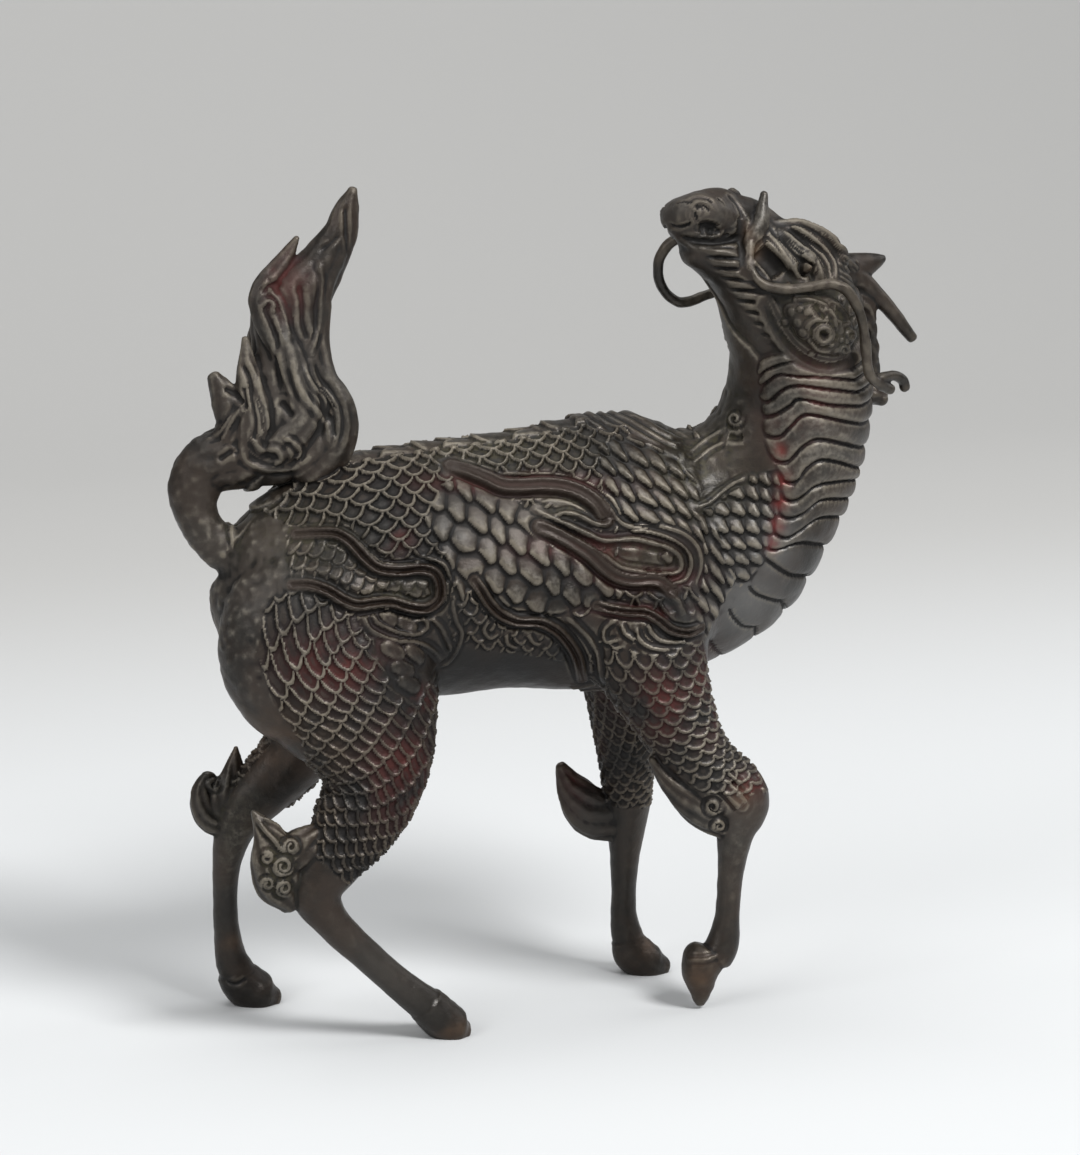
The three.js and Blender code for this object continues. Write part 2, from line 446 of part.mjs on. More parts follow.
// Everything is cast as one body.
function castBody() {
  const base = [trunk(), ...Object.keys(LIMBS).map(limb)];
  const meshes = base.map((geometry) => new THREE.Mesh(geometry));
  const pairs = [-1, 1].flatMap((side) => [nostril(side), brow(side), cheek(side), eye(side), tusk(side),
    ...CURLS.map((points) => curl(points, side))]);
  const parts = [
    ...base,
    ...Object.keys(HOOVES).map(hoof),
    ...TUFTS.map(tuft),
    tail(), ...LOCKS.map(lock),
    skull(), jaw(), horn(), prong(),
    ...KNOBS.map(knob),
    ...pairs,
    whisker(LEFT_WHISKER, LEFT_WHISKER_RINGS), whisker(LEFT_BRANCH, LEFT_BRANCH.length),
    whisker(RIGHT_WHISKER, RIGHT_WHISKER_RINGS),
    ...MANE.map(maneLock),
    ...SPINE.map(backPlate),
    ...scrolls(meshes),
  ];
  return parts.map(solid).reduce((whole, piece) => whole.add(piece));
}

// The soles and the toe that touches are cut flat on z = 0.
function standing(body) {
  const ground = new THREE.BoxGeometry(2 * FIGURE_HEIGHT, FIGURE_HEIGHT, FIGURE_HEIGHT)
    .translate(0, 0, -FIGURE_HEIGHT / 2);
  return body.subtract(solid(ground));
}

function toGeometry(body) {
  const { vertProperties, triVerts } = body.getMesh();
  const geometry = new THREE.BufferGeometry();
  geometry.setAttribute('position', new THREE.BufferAttribute(new Float32Array(vertProperties), 3));
  geometry.setIndex(new THREE.BufferAttribute(new Uint32Array(triVerts), 1));
  geometry.computeBoundingBox();
  const middle = geometry.boundingBox.getCenter(new THREE.Vector3());
  return geometry.translate(-middle.x, -middle.y, -geometry.boundingBox.min.z);
}

const bronze = new THREE.MeshStandardMaterial({ color: 0x2b221e, roughness: 0.45, metalness: 0.8, flatShading: true });

const qilin = new THREE.Mesh(toGeometry(standing(castBody())), bronze);
qilin.name = 'qilin_figure';

const figure = new THREE.Group();
figure.add(qilin);

export default figure;
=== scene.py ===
"""Dresses the cast bronze qilin: a carved skin for the plain casting, with floor, light and camera."""
import math

import bmesh
import bpy
import numpy as np
from mathutils import Matrix, Vector
from mathutils.bvhtree import BVHTree


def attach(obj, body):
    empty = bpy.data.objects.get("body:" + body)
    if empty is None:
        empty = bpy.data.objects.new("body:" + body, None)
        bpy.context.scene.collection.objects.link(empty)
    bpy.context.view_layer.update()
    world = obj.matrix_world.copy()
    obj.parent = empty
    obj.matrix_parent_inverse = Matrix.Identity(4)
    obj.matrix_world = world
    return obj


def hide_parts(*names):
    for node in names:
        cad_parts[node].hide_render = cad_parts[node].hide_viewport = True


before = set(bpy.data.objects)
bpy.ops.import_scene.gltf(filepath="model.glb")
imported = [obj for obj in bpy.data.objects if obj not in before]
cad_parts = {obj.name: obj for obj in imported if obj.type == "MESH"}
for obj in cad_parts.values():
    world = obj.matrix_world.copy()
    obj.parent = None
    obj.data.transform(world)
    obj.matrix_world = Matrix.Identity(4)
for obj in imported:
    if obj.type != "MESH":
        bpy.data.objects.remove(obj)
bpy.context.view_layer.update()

# Sizes in millimetres, as in the casting's own source.
HEIGHT = 220.0
TRUNK_BREADTH = 46.0
WHISKER_DIAMETER = 2.8
HORN_DIAMETER = 4.4
EYE_DIAMETER = 4.6
TUSK_DIAMETER = 2.6
CANNON_DIAMETER = 7.0
MM = 0.001

# The pose is given in shares: hundredths of the height, and sideways parts of the trunk's breadth.
TRUNK_SHARES = 21
SHARE = HEIGHT / 100
SIDE_SHARE = TRUNK_BREADTH / TRUNK_SHARES
SHARES = np.array([SHARE, SIDE_SHARE, SHARE])
# Where the casting's own origin lies in the pose, in millimetres.
MIDDLE = np.array([0.251, 0.031, 0.0])

# Mesh sizes in millimetres, and rounds of smoothing of the body and of the whole skin.
BLEND_VOXEL = 0.9
BLEND_ROUNDS = 8
SKIN_VOXEL = 0.436
SKIN_ROUNDS = 1
CAP_RINGS = 6
POLE_LIFT = 0.05

# The photograph's view, in pixels and millimetres.
IMAGE_WIDTH = 1080
IMAGE_HEIGHT = 1155
VIEW_AZIMUTH = math.radians(-17)
VIEW_ELEVATION = math.radians(11)
VIEW_DISTANCE = 1000.0
VIEW_FOCAL = 3790.0
VIEW_TARGET = np.array([0.0, 7.4, 114.7]) - MIDDLE
SENSOR = 36

# The head's place in shares, its turn away from the camera, its lift and its lean.
HEAD_PLACE = np.array([27.6, -4.5, 88.5])
HEAD_TURN = math.radians(5.6)
HEAD_LIFT = math.radians(32)
HEAD_LEAN = math.radians(13.5)

# Carving is placed by pixels of the picture on the side towards the camera and repeated on the other side.
PIXEL = 0.262
SIDE_PLANE = -20.0
# How many points are worked on at a time, to spare memory.
BLOCK = 20000


class View:
    """The camera, for placing carving at a pixel of the photograph."""
    back = np.array([math.sin(VIEW_AZIMUTH) * math.cos(VIEW_ELEVATION),
                     -math.cos(VIEW_AZIMUTH) * math.cos(VIEW_ELEVATION), math.sin(VIEW_ELEVATION)])
    right = np.array([math.cos(VIEW_AZIMUTH), math.sin(VIEW_AZIMUTH), 0.0])
    up = np.cross(back, right)
    eye = VIEW_TARGET + back * VIEW_DISTANCE

    @classmethod
    def ray(cls, px, py):
        """The direction in which a pixel is seen."""
        d = (cls.right * (px - IMAGE_WIDTH / 2) - cls.up * (py - IMAGE_HEIGHT / 2)) / VIEW_FOCAL - cls.back
        return d / np.linalg.norm(d)

    @classmethod
    def pixels(cls, points):
        """The pixels at which points are seen."""
        rel = points - cls.eye
        depth = -rel @ cls.back
        return np.stack([IMAGE_WIDTH / 2 + VIEW_FOCAL * (rel @ cls.right) / depth,
                         IMAGE_HEIGHT / 2 - VIEW_FOCAL * (rel @ cls.up) / depth], axis=-1)


def head_axes():
    """The head's directions: along the face, to its left side and up."""
    forward = np.array([-math.cos(HEAD_TURN) * math.cos(HEAD_LIFT),
                        -math.sin(HEAD_TURN) * math.cos(HEAD_LIFT), math.sin(HEAD_LIFT)])
    level = np.cross([0, 0, 1], forward)
    level /= np.linalg.norm(level)
    left = np.array(Matrix.Rotation(HEAD_LEAN, 3, Vector(forward)) @ Vector(level))
    return forward, left, np.cross(forward, left)


HEAD_F, HEAD_L, HEAD_U = head_axes()
HEAD_AT = HEAD_PLACE * SHARES - MIDDLE


def on_head(points):
    """Places on the head, given along it, to its left side and up, in shares of the height."""
    p = np.atleast_2d(np.asarray(points, float)) * SHARE
    return HEAD_AT + p[:, :1] * HEAD_F + p[:, 1:2] * HEAD_L + p[:, 2:3] * HEAD_U


def body_stations(rows):
    """The middle line, half depths and half breadths in millimetres of rows in shares."""
    r = np.asarray(rows, float)
    return r[:, :3] * SHARES - MIDDLE, r[:, 3] * SHARE, r[:, 4] * SIDE_SHARE


def head_stations(rows):
    """The same, of rows given in the head's own directions."""
    r = np.asarray(rows, float)
    return on_head(r[:, :3]), r[:, 3] * SHARE, r[:, 4] * SHARE


def smooth_line(points, shares):
    """A smooth line through the points, at shares of the way counted evenly by point."""
    points = np.asarray(points, float)
    padded = np.vstack([2 * points[:1] - points[1:2], points, 2 * points[-1:] - points[-2:-1]])
    x = np.asarray(shares, float) * (len(points) - 1)
    i = np.clip(x.astype(int), 0, len(points) - 2)
    f = (x - i)[:, None]
    p0, p1, p2, p3 = (padded[i + k] for k in range(4))
    m1, m2 = (p2 - p0) / 2, (p3 - p1) / 2
    return ((2 * f ** 3 - 3 * f ** 2 + 1) * p1 + (f ** 3 - 2 * f ** 2 + f) * m1
            + (-2 * f ** 3 + 3 * f ** 2) * p2 + (f ** 3 - f ** 2) * m2)


def link(name, data):
    """A new object in the scene."""
    obj = bpy.data.objects.new(name, data)
    bpy.context.scene.collection.objects.link(obj)
    return obj


def mesh_of(name, points, faces):
    """A mesh of faces that all have the same number of corners."""
    mesh = bpy.data.meshes.new(name)
    mesh.vertices.add(len(points))
    mesh.vertices.foreach_set("co", np.asarray(points, np.float32).ravel())
    size = faces.shape[1]
    mesh.loops.add(faces.size)
    mesh.loops.foreach_set("vertex_index", faces.astype(np.int32).ravel())
    mesh.polygons.add(len(faces))
    mesh.polygons.foreach_set("loop_start", np.arange(0, faces.size, size, dtype=np.int32))
    mesh.update(calc_edges=True)
    return mesh


class Soup:
    """Closed bodies gathered to be joined into one skin."""

    def __init__(self):
        self.points, self.faces, self.count = [], [], 0

    def add(self, points, faces):
        self.points.append(points)
        self.faces.append(faces + self.count)
        self.count += len(points)

    def mesh(self, name):
        return mesh_of(name, np.vstack(self.points), np.vstack(self.faces))

    def body(self, rows, **settings):
        """Adds a form given in the pose's shares."""
        loft(self, body_stations(rows), **settings)

    def head(self, rows, **settings):
        """Adds a form given in the head's own directions."""
        loft(self, head_stations(rows), side=HEAD_L, **settings)


def loft_faces(count, sides):
    """Triangles over rings of points, with a pole after the last ring for each end."""
    i = np.arange(count - 1)[:, None] * sides
    k = np.arange(sides)[None]
    n = (k + 1) % sides
    a, b, c, d = i + k, i + n, i + sides + n, i + sides + k
    walls = [np.stack([a, b, c], -1).reshape(-1, 3), np.stack([a, c, d], -1).reshape(-1, 3)]
    pole, top = count * sides, (count - 1) * sides
    k, n = k[0], n[0]
    ends = [np.stack([np.full(sides, pole), n, k], -1),
            np.stack([np.full(sides, pole + 1), top + k, top + n], -1)]
    return np.concatenate(walls + ends)


def loft(soup, stations, side=(0, 1, 0), sides=40, step=0.9, bulge=(0.8, 0.8), relief=None):
    """Adds a closed body lofted along the stations. bulge is how far each end swells, in its half sizes, and
    relief gives what is added to the radius, in millimetres, for a share of the way along and an angle that
    starts on the side direction."""
    at, depth, breadth = stations
    length = np.linalg.norm(np.diff(at, axis=0), axis=1).sum()
    t = np.linspace(0, 1, max(6, int(length / step)))
    size = smooth_line(np.stack([depth, breadth], 1), t)
    line = smooth_line(at, t)
    along = smooth_line(at, np.minimum(t + 1e-3, 1)) - smooth_line(at, np.maximum(t - 1e-3, 0))
    along /= np.linalg.norm(along, axis=1)[:, None]
    parts = [(line, along, size, t)]
    lift = np.sin(np.linspace(0, math.pi / 2, CAP_RINGS + 1)[1:-1])
    for end, sign in ((0, -1), (-1, 1)):
        reach = bulge[end] * size[end].mean()
        cap_line = line[end] + np.outer(lift, along[end]) * sign * reach
        cap_size = np.sqrt(1 - lift ** 2)[:, None] * size[end]
        cap = (cap_line, np.repeat(along[end][None], len(lift), 0), cap_size, np.full(len(lift), t[end]))
        parts = parts + [cap] if end else [tuple(a[::-1] for a in cap)] + parts
    line, along, full, share = (np.concatenate([p[k] for p in parts]) for k in range(4))
    poles = [line[:1] - along[:1] * POLE_LIFT, line[-1:] + along[-1:] * POLE_LIFT]
    side = np.asarray(side, float)
    across = side - (along @ side)[:, None] * along
    across /= np.linalg.norm(across, axis=1)[:, None]
    normal = np.cross(along, across)
    tt, aa = np.meshgrid(share, np.linspace(0, 2 * math.pi, sides, endpoint=False), indexing="ij")
    extra = relief(tt, aa) if relief is not None else np.zeros_like(tt)
    extra = extra * np.minimum(1, full.min(axis=1) / max(1e-6, size.min(axis=1).mean()))[:, None]
    rings = (line[:, None] + across[:, None] * ((full[:, 1:2] + extra) * np.cos(aa))[..., None]
             + normal[:, None] * ((full[:, :1] + extra) * np.sin(aa))[..., None])
    soup.add(np.vstack([rings.reshape(-1, 3), *poles]), loft_faces(len(share), sides))


def strands(count, depth, twist):
    """Rounded hair strands with sharp grooves between them, along a lock."""
    return lambda t, a: depth * (np.abs(np.sin(count * (a + twist * t) / 2)) - 0.55)


# The pose, as in the casting: x, y and z of the middle line, then half depth and half breadth, in shares.
TRUNK = [
    [-38.4, 0, 50.5, 4.8, 4.4], [-35.8, 0, 51.3, 8.4, 6.4], [-30.4, 0, 53.0, 12.2, 8.8],
    [-23.1, 0, 54.3, 14.2, 9.9], [-14.6, 0, 54.5, 15.1, 10.2], [-6.0, 0, 55.0, 15.2, 10.5],
    [1.5, 0, 55.2, 16.1, 10.5], [8.3, 0, 55.6, 16.7, 10.2], [15.8, 0, 56.3, 15.4, 9.6],
    [21.6, 0, 58.6, 14.1, 8.8], [26.2, -0.8, 62.7, 11.1, 8.2], [29.0, -1.8, 67.6, 9.7, 7.8],
    [30.2, -2.7, 72.9, 9.0, 7.5], [30.0, -3.6, 77.5, 8.6, 7.3], [28.3, -4.6, 81.5, 8.0, 6.7],
    [25.4, -5.4, 84.9, 6.4, 5.4], [22.2, -6.0, 88.2, 4.3, 4.3], [18.7, -6.2, 90.9, 2.9, 3.3],
    [15.6, -6.3, 92.2, 2.1, 2.4],
]
CANNON = CANNON_DIAMETER / (2 * SHARE)
CANNON_SIDE = CANNON_DIAMETER / (2 * SIDE_SHARE)
LIMBS = {
    "rightHind": [[-26.6, -3.5, 55.0, 10.4, 6.8], [-28.1, -5.2, 47.6, 13.2, 6.8],
        [-25.3, -6.6, 40.2, 10.3, 5.9], [-23.9, -7.6, 35.2, 7.8, 5.0], [-24.1, -8.2, 30.6, 5.8, 4.3],
        [-26.3, -8.6, 26.6, 5.0, 3.8], [-28.9, -8.9, 23.0, 4.0, 3.2], [-31.0, -9.0, 19.1, 3.1, 2.8],
        [-29.2, -9.1, 15.3, 2.2, 2.3], [-24.8, -9.0, 10.6, CANNON * 1.2, CANNON_SIDE * 1.2],
        [-20.4, -8.8, 6.3, CANNON * 1.25, CANNON_SIDE * 1.25], [-17.6, -8.6, 3.9, 2.2, 2.2]],
    "leftHind": [[-24.0, 3.0, 50.0, 11.0, 7.0], [-26.0, 5.0, 43.5, 9.0, 5.6], [-26.6, 6.8, 37.6, 5.8, 4.8],
        [-28.6, 8.0, 32.2, 4.4, 4.0], [-32.0, 8.8, 28.2, 3.8, 3.4], [-35.6, 9.4, 24.3, 3.1, 2.9],
        [-37.1, 9.8, 20.2, 2.1, 2.2], [-37.6, 10.1, 15.8, CANNON, CANNON_SIDE],
        [-37.6, 10.3, 10.8, CANNON, CANNON_SIDE], [-37.1, 10.5, 6.4, 1.9, 1.8],
        [-36.2, 10.6, 4.0, 2.3, 2.1]],
    "leftFore": [[11.5, 3.0, 51.0, 10.0, 7.0], [12.3, 5.5, 43.3, 7.9, 5.2], [12.2, 7.2, 35.6, 4.9, 4.4],
        [12.7, 8.2, 27.8, 3.5, 3.3], [12.9, 8.7, 21.4, 2.8, 2.7], [12.7, 8.9, 16.0, 2.0, 1.9],
        [12.6, 9.0, 10.9, CANNON, CANNON_SIDE], [12.7, 9.1, 6.8, 1.8, 1.7], [13.3, 9.2, 4.2, 2.1, 2.0]],
    "rightFore": [[10.6, -3.0, 54.0, 11.0, 6.8], [10.6, -5.0, 49.0, 9.8, 6.2], [11.0, -6.4, 43.2, 7.0, 5.2],
        [13.4, -7.4, 36.8, 5.0, 4.2], [16.6, -7.9, 30.9, 4.0, 3.6], [21.3, -8.1, 25.9, 4.0, 3.2],
        [21.0, -8.1, 21.6, 2.3, 2.3], [20.5, -8.0, 16.2, CANNON, CANNON_SIDE],
        [20.2, -7.9, 11.4, CANNON, CANNON_SIDE], [19.7, -7.8, 8.0, 2.1, 1.9], [18.6, -7.7, 6.0, 2.1, 2.1]],
}
HOOVES = {
    "rightHind": [[-17.8, -8.6, 4.1, 2.3, 2.3], [-16.0, -8.4, 2.2, 2.5, 2.6], [-14.3, -8.3, 0.8, 2.3, 2.7],
        [-13.2, -8.2, 0.2, 1.4, 1.9]],
    "leftHind": [[-36.8, 10.6, 4.4, 2.2, 2.1], [-35.3, 10.8, 2.4, 2.7, 2.6], [-33.4, 10.9, 0.9, 2.6, 2.8],
        [-31.8, 11.0, 0.2, 1.5, 1.9]],
    "leftFore": [[12.9, 9.2, 4.6, 2.0, 1.9], [14.0, 9.2, 2.5, 2.6, 2.4], [16.0, 9.2, 1.0, 2.4, 2.6],
        [17.7, 9.2, 0.3, 1.5, 1.8]],
    "rightFore": [[18.0, -7.6, 7.3, 2.1, 1.9], [17.4, -7.55, 6.3, 2.6, 2.3], [17.0, -7.5, 4.8, 2.4, 2.2],
        [17.0, -7.45, 3.0, 1.7, 1.7], [17.0, -7.4, 1.3, 1.0, 1.1], [17.0, -7.4, 0.6, 0.6, 0.7]],
}
TUFTS = [
    [[-34.2, -9.0, 17.8, 1.2, 1.2], [-35.4, -9.4, 20.4, 2.8, 1.7], [-36.0, -9.6, 24.0, 2.8, 1.7],
     [-36.9, -9.6, 26.8, 1.6, 1.2], [-38.4, -9.5, 29.2, 0.3, 0.4]],
    [[-29.6, -9.4, 24.6, 2.7, 1.6], [-33.0, -9.6, 24.2, 2.6, 1.7], [-36.0, -9.8, 22.4, 1.4, 1.2]],
    [[-36.2, 9.4, 22.4, 1.6, 1.6], [-37.2, 9.6, 25.6, 2.5, 1.6], [-36.5, 9.8, 29.0, 1.5, 1.1],
     [-36.1, 9.9, 32.2, 0.3, 0.4]],
    [[-36.9, 9.4, 22.6, 1.8, 1.5], [-39.6, 9.8, 24.0, 1.6, 1.3], [-40.3, 10.0, 26.8, 1.4, 1.2],
     [-39.4, 10.0, 28.8, 0.9, 0.8]],
    [[11.4, 8.7, 20.0, 2.9, 1.5], [8.3, 8.9, 21.3, 3.1, 1.5], [5.9, 9.0, 24.2, 2.1, 1.3],
     [4.4, 9.0, 27.2, 0.7, 0.6]],
    [[19.6, -8.2, 23.0, 1.8, 1.6], [16.2, -8.6, 25.4, 2.1, 1.7], [12.9, -8.5, 28.4, 1.4, 1.2],
     [10.4, -8.0, 31.6, 0.5, 0.6]],
]
TAIL = [
    [-32.5, 0, 54.9, 4.2, 3.8], [-36.6, 0, 56.8, 2.8, 2.9], [-40.0, 0, 59.0, 2.6, 2.6],
    [-42.4, 0, 62.2, 2.5, 2.4], [-42.7, 0, 65.7, 3.1, 2.4], [-41.2, 0, 68.5, 3.2, 2.8],
    [-36.6, 0, 69.4, 4.0, 3.2], [-32.2, 0, 71.0, 5.0, 3.8], [-31.1, 0, 75.4, 5.2, 4.0],
    [-31.0, 0, 81.0, 4.6, 3.4], [-30.8, 0, 86.4, 4.4, 3.0], [-27.6, 0, 90.6, 2.9, 2.2],
    [-25.2, 0, 94.2, 2.1, 1.5], [-24.3, 0, 97.2, 1.5, 1.0], [-23.5, 0, 99.5, 0.6, 0.5],
]
LOCKS = [
    [[-29.6, -1.6, 67.8, 3.2, 2.2], [-26.6, -2.2, 70.8, 2.6, 1.9], [-25.8, -2.2, 74.6, 1.8, 1.6],
     [-27.6, -1.8, 78.0, 1.5, 1.4], [-28.2, -1.4, 82.4, 1.4, 1.2], [-27.6, -1.2, 86.8, 1.1, 1.1],
     [-26.0, -0.8, 91.0, 0.6, 0.6]],
    [[-33.0, -2.4, 70.6, 2.4, 1.9], [-30.4, -3.2, 74.6, 2.0, 1.7], [-31.9, -3.0, 80.4, 1.6, 1.4],
     [-34.0, -2.0, 85.4, 1.9, 1.3], [-34.4, -1.2, 88.3, 1.6, 1.2], [-31.9, -0.6, 91.6, 1.1, 0.8],
     [-30.3, -0.4, 94.2, 0.3, 0.4]],
    [[-36.4, -1.6, 70.0, 2.4, 1.8], [-35.6, -2.2, 74.4, 2.3, 1.6], [-36.4, -1.6, 78.4, 1.5, 1.2],
     [-36.6, -1.0, 82.9, 0.4, 0.4]],
    [[-39.0, -0.6, 69.8, 2.4, 1.9], [-37.8, -1.0, 73.2, 2.3, 1.7], [-38.9, -0.8, 76.0, 1.9, 1.4],
     [-40.3, -0.6, 78.6, 0.8, 0.7]],
    [[-41.0, -0.6, 68.0, 1.0, 0.9], [-41.6, -0.6, 69.4, 0.7, 0.6], [-42.1, -0.6, 70.6, 0.25, 0.3]],
    [[-31.0, 1.8, 69.0, 2.8, 2.2], [-27.4, 2.6, 73.6, 2.2, 1.8], [-29.4, 2.6, 79.0, 1.8, 1.5],
     [-31.4, 2.0, 84.4, 1.5, 1.3], [-29.6, 1.2, 88.8, 0.8, 0.8]],
    [[-35.4, 1.8, 70.2, 2.4, 1.9], [-33.2, 2.8, 75.2, 1.9, 1.6], [-34.8, 2.2, 80.4, 1.3, 1.2],
     [-34.4, 1.4, 85.8, 0.5, 0.6]],
]
# The head's forms, in its own directions. A knob is its place along the nose and up, and its size.
SKULL = [
    [-8.6, 0, -0.6, 4.0, 4.4], [-5.6, 0, -0.8, 5.8, 5.8], [-2.0, 0, -0.1, 5.8, 6.0],
    [1.6, 0, 0.9, 4.8, 5.0], [5.0, 0, 1.3, 3.6, 3.9], [8.4, 0, 1.7, 3.1, 3.3], [11.4, 0, 1.3, 2.8, 3.2],
    [14.2, 0, -0.4, 2.6, 3.2], [15.9, 0, -1.4, 1.8, 2.4],
]
JAW = [
    [-5.0, 0, -4.4, 4.4, 5.0], [-1.0, 0, -4.6, 4.2, 4.6], [3.4, 0, -3.6, 3.0, 3.6],
    [7.6, 0, -2.9, 2.2, 2.9], [11.6, 0, -2.6, 1.6, 2.4], [14.4, 0, -2.6, 1.1, 1.9],
]
KNOBS = [[10.2, 5.0, 0.6], [2.0, 5.0, 1.2], [-0.8, 5.7, 1.3], [-3.6, 6.0, 1.4], [-6.6, 5.4, 1.4]]
# Swellings on each half of the head: nostril, bulb of the nose, bridge, brow, lip band and cheek.
HEAD_SWELLS = [
    [[12.0, 1.7, 1.2, 1.7, 1.6], [14.4, 1.8, 0.4, 2.0, 1.8], [16.1, 1.3, -0.6, 1.3, 1.3]],
    [[9.0, 0.6, 2.8, 1.5, 1.7], [11.4, 0.7, 3.1, 1.8, 1.9], [13.2, 0.7, 2.2, 1.6, 1.8],
     [14.6, 0.7, 0.9, 1.5, 1.7], [15.8, 0.6, -0.3, 1.4, 1.5]],
    [[9.6, 0.7, 3.6, 1.4, 1.2], [8.2, 0.8, 3.9, 1.8, 1.5], [6.0, 0.9, 4.0, 1.8, 1.7],
     [3.6, 1.0, 3.7, 1.8, 1.9], [1.2, 1.2, 4.2, 1.8, 2.2]],
    [[4.4, 2.2, 3.9, 0.7, 0.9], [1.6, 3.2, 4.7, 1.2, 1.2], [-1.6, 3.9, 5.0, 1.3, 1.2],
     [-4.6, 4.2, 4.3, 0.9, 0.9]],
    [[6.4, 3.0, 0.0, 1.2, 0.9], [4.2, 3.7, 0.4, 1.5, 1.1], [1.8, 4.3, 0.2, 1.5, 1.1],
     [-0.4, 4.6, -0.6, 1.0, 0.9]],
    [[1.0, 4.2, -3.4, 1.6, 1.2], [-1.8, 5.2, -4.2, 3.0, 2.0], [-4.6, 5.6, -4.8, 3.4, 2.2],
     [-7.4, 5.2, -4.6, 2.6, 1.8], [-9.0, 4.6, -3.8, 1.4, 1.2]],
]
HORN = HORN_DIAMETER / (2 * SHARE)
HORN_ROWS = [[-5.0, 0, 3.6, HORN * 1.7, HORN * 1.7], [-8.8, 0, 4.9, HORN * 1.4, HORN * 1.25],
             [-14.0, 0, 4.1, HORN, HORN * 0.95], [-19.5, 0, 2.3, HORN * 0.7, HORN * 0.7]]
PRONG_ROWS = [[-6.6, 0, 3.6, HORN * 2.6, HORN * 1.6], [-9.4, 0, 6.5, HORN * 1.7, HORN * 1.0],
              [-11.0, 0, 8.2, HORN * 0.9, HORN * 0.6], [-11.6, 0, 8.9, HORN * 0.45, HORN * 0.4]]
TUSK = TUSK_DIAMETER / (2 * SHARE)
TUSK_ROWS = [[6.4, 2.6, -1.6, TUSK * 2.2, TUSK * 1.3], [6.9, 3.4, 0.6, TUSK * 2.4, TUSK * 1.3],
             [7.3, 3.6, 3.0, TUSK * 1.7, TUSK * 1.2], [8.1, 3.2, 5.9, TUSK * 0.85, TUSK * 0.85]]
EYE = EYE_DIAMETER / (2 * SHARE)
EYE_PLACE = (0.2, 4.9, 1.4)
LEFT_WHISKER = [
    [23.4, -6.2, 92.4], [22.1, -8.2, 93.1], [21.7, -9.2, 90.9], [22.3, -10.0, 88.7], [24.3, -10.8, 87.7],
    [27.2, -11.3, 87.6], [30.8, -11.8, 88.1], [33.1, -12.0, 87.0], [34.8, -11.9, 83.7], [35.5, -11.6, 80.1],
    [36.2, -11.0, 77.2], [37.8, -10.2, 75.8], [39.6, -9.4, 75.0],
]
LEFT_BRANCH = [
    [37.0, -10.4, 76.2], [38.4, -9.8, 76.5], [40.1, -9.0, 76.6], [41.5, -8.4, 75.9], [41.9, -8.2, 75.0],
]
RIGHT_WHISKER = [
    [21.0, -4.6, 92.6], [19.6, -3.0, 93.2], [16.8, -2.0, 93.2], [14.6, -1.2, 92.3], [13.5, -0.5, 90.0],
    [14.1, 0.2, 87.0], [16.6, 0.8, 85.0], [19.6, 1.4, 85.5], [23.4, 1.0, 86.9],
]
# Locks of the mane: root, middle and tip, with their half depths and half breadths.
MANE = [
    [[34.0, -1.5, 88.2], [37.9, -2.0, 87.2], [39.4, -2.4, 85.4]],
    [[34.5, -1.0, 86.2], [38.7, -1.8, 84.6], [39.9, -2.2, 82.4]],
    [[35.0, -0.5, 84.0], [39.1, -1.4, 82.2], [40.1, -1.8, 79.8]],
    [[35.2, 0.0, 81.6], [39.5, -1.0, 79.8], [40.5, -1.6, 77.4]],
    [[35.4, 0.4, 79.2], [39.8, -0.6, 77.4], [40.8, -1.4, 75.2]],
    [[36.2, 0.4, 76.8], [40.2, -0.8, 75.0], [41.7, -1.8, 73.2]],
    [[37.0, 0.2, 74.8], [40.4, -1.4, 73.4], [41.6, -2.2, 72.6]],
    [[33.2, 3.4, 78.4], [35.2, 4.4, 75.0], [35.6, 4.2, 71.2]],
    [[28.4, 4.4, 76.0], [29.0, 5.6, 71.8], [27.8, 5.8, 67.6]],
]
MANE_SIZES = ((1.3, 1.5), (1.35, 1.5), (0.7, 0.7))
# Plates along the back: x and z of each, then the stations of one: way along, lift, half depth, half breadth.
SPINE = [
    [-25.0, 67.3], [-19.6, 68.4], [-14.4, 68.8], [-9.2, 69.1], [-4.0, 69.7], [1.2, 70.6], [6.2, 71.5],
    [11.2, 71.3],
]
SPINE_PLATE = ((-2.8, 0.5, 0.8, 1.6), (0, 0.1, 1.0, 2.4), (2.8, -0.9, 0.6, 1.8))
SPINE_DEPTH = 1.2


def mirrored(rows, side):
    return [[r[0], r[1] * side, *r[2:]] for r in rows]


def knob_rows(along, up, size):
    return [[along + s, 0, up, size * 0.8, size * 1.3] for s in (size / 2, 0, -size / 2)]


def gather_body(soup):
    """The smooth main forms, which run into each other."""
    soup.body(TRUNK, sides=72, bulge=(0.5, 0.5))
    for rows in LIMBS.values():
        soup.body(rows, bulge=(0.2, 0.2))
    soup.head(SKULL, sides=48, step=0.6, bulge=(0.6, 0.6))
    soup.head(JAW, step=0.6, bulge=(0.1, 0.6))
    soup.body(TAIL[:7], sides=32)
    for knob in KNOBS:
        soup.head(knob_rows(*knob), sides=24, step=0.3)
    for rows in HEAD_SWELLS:
        for side in (-1, 1):
            soup.head(mirrored(rows, side), sides=32, step=0.4)


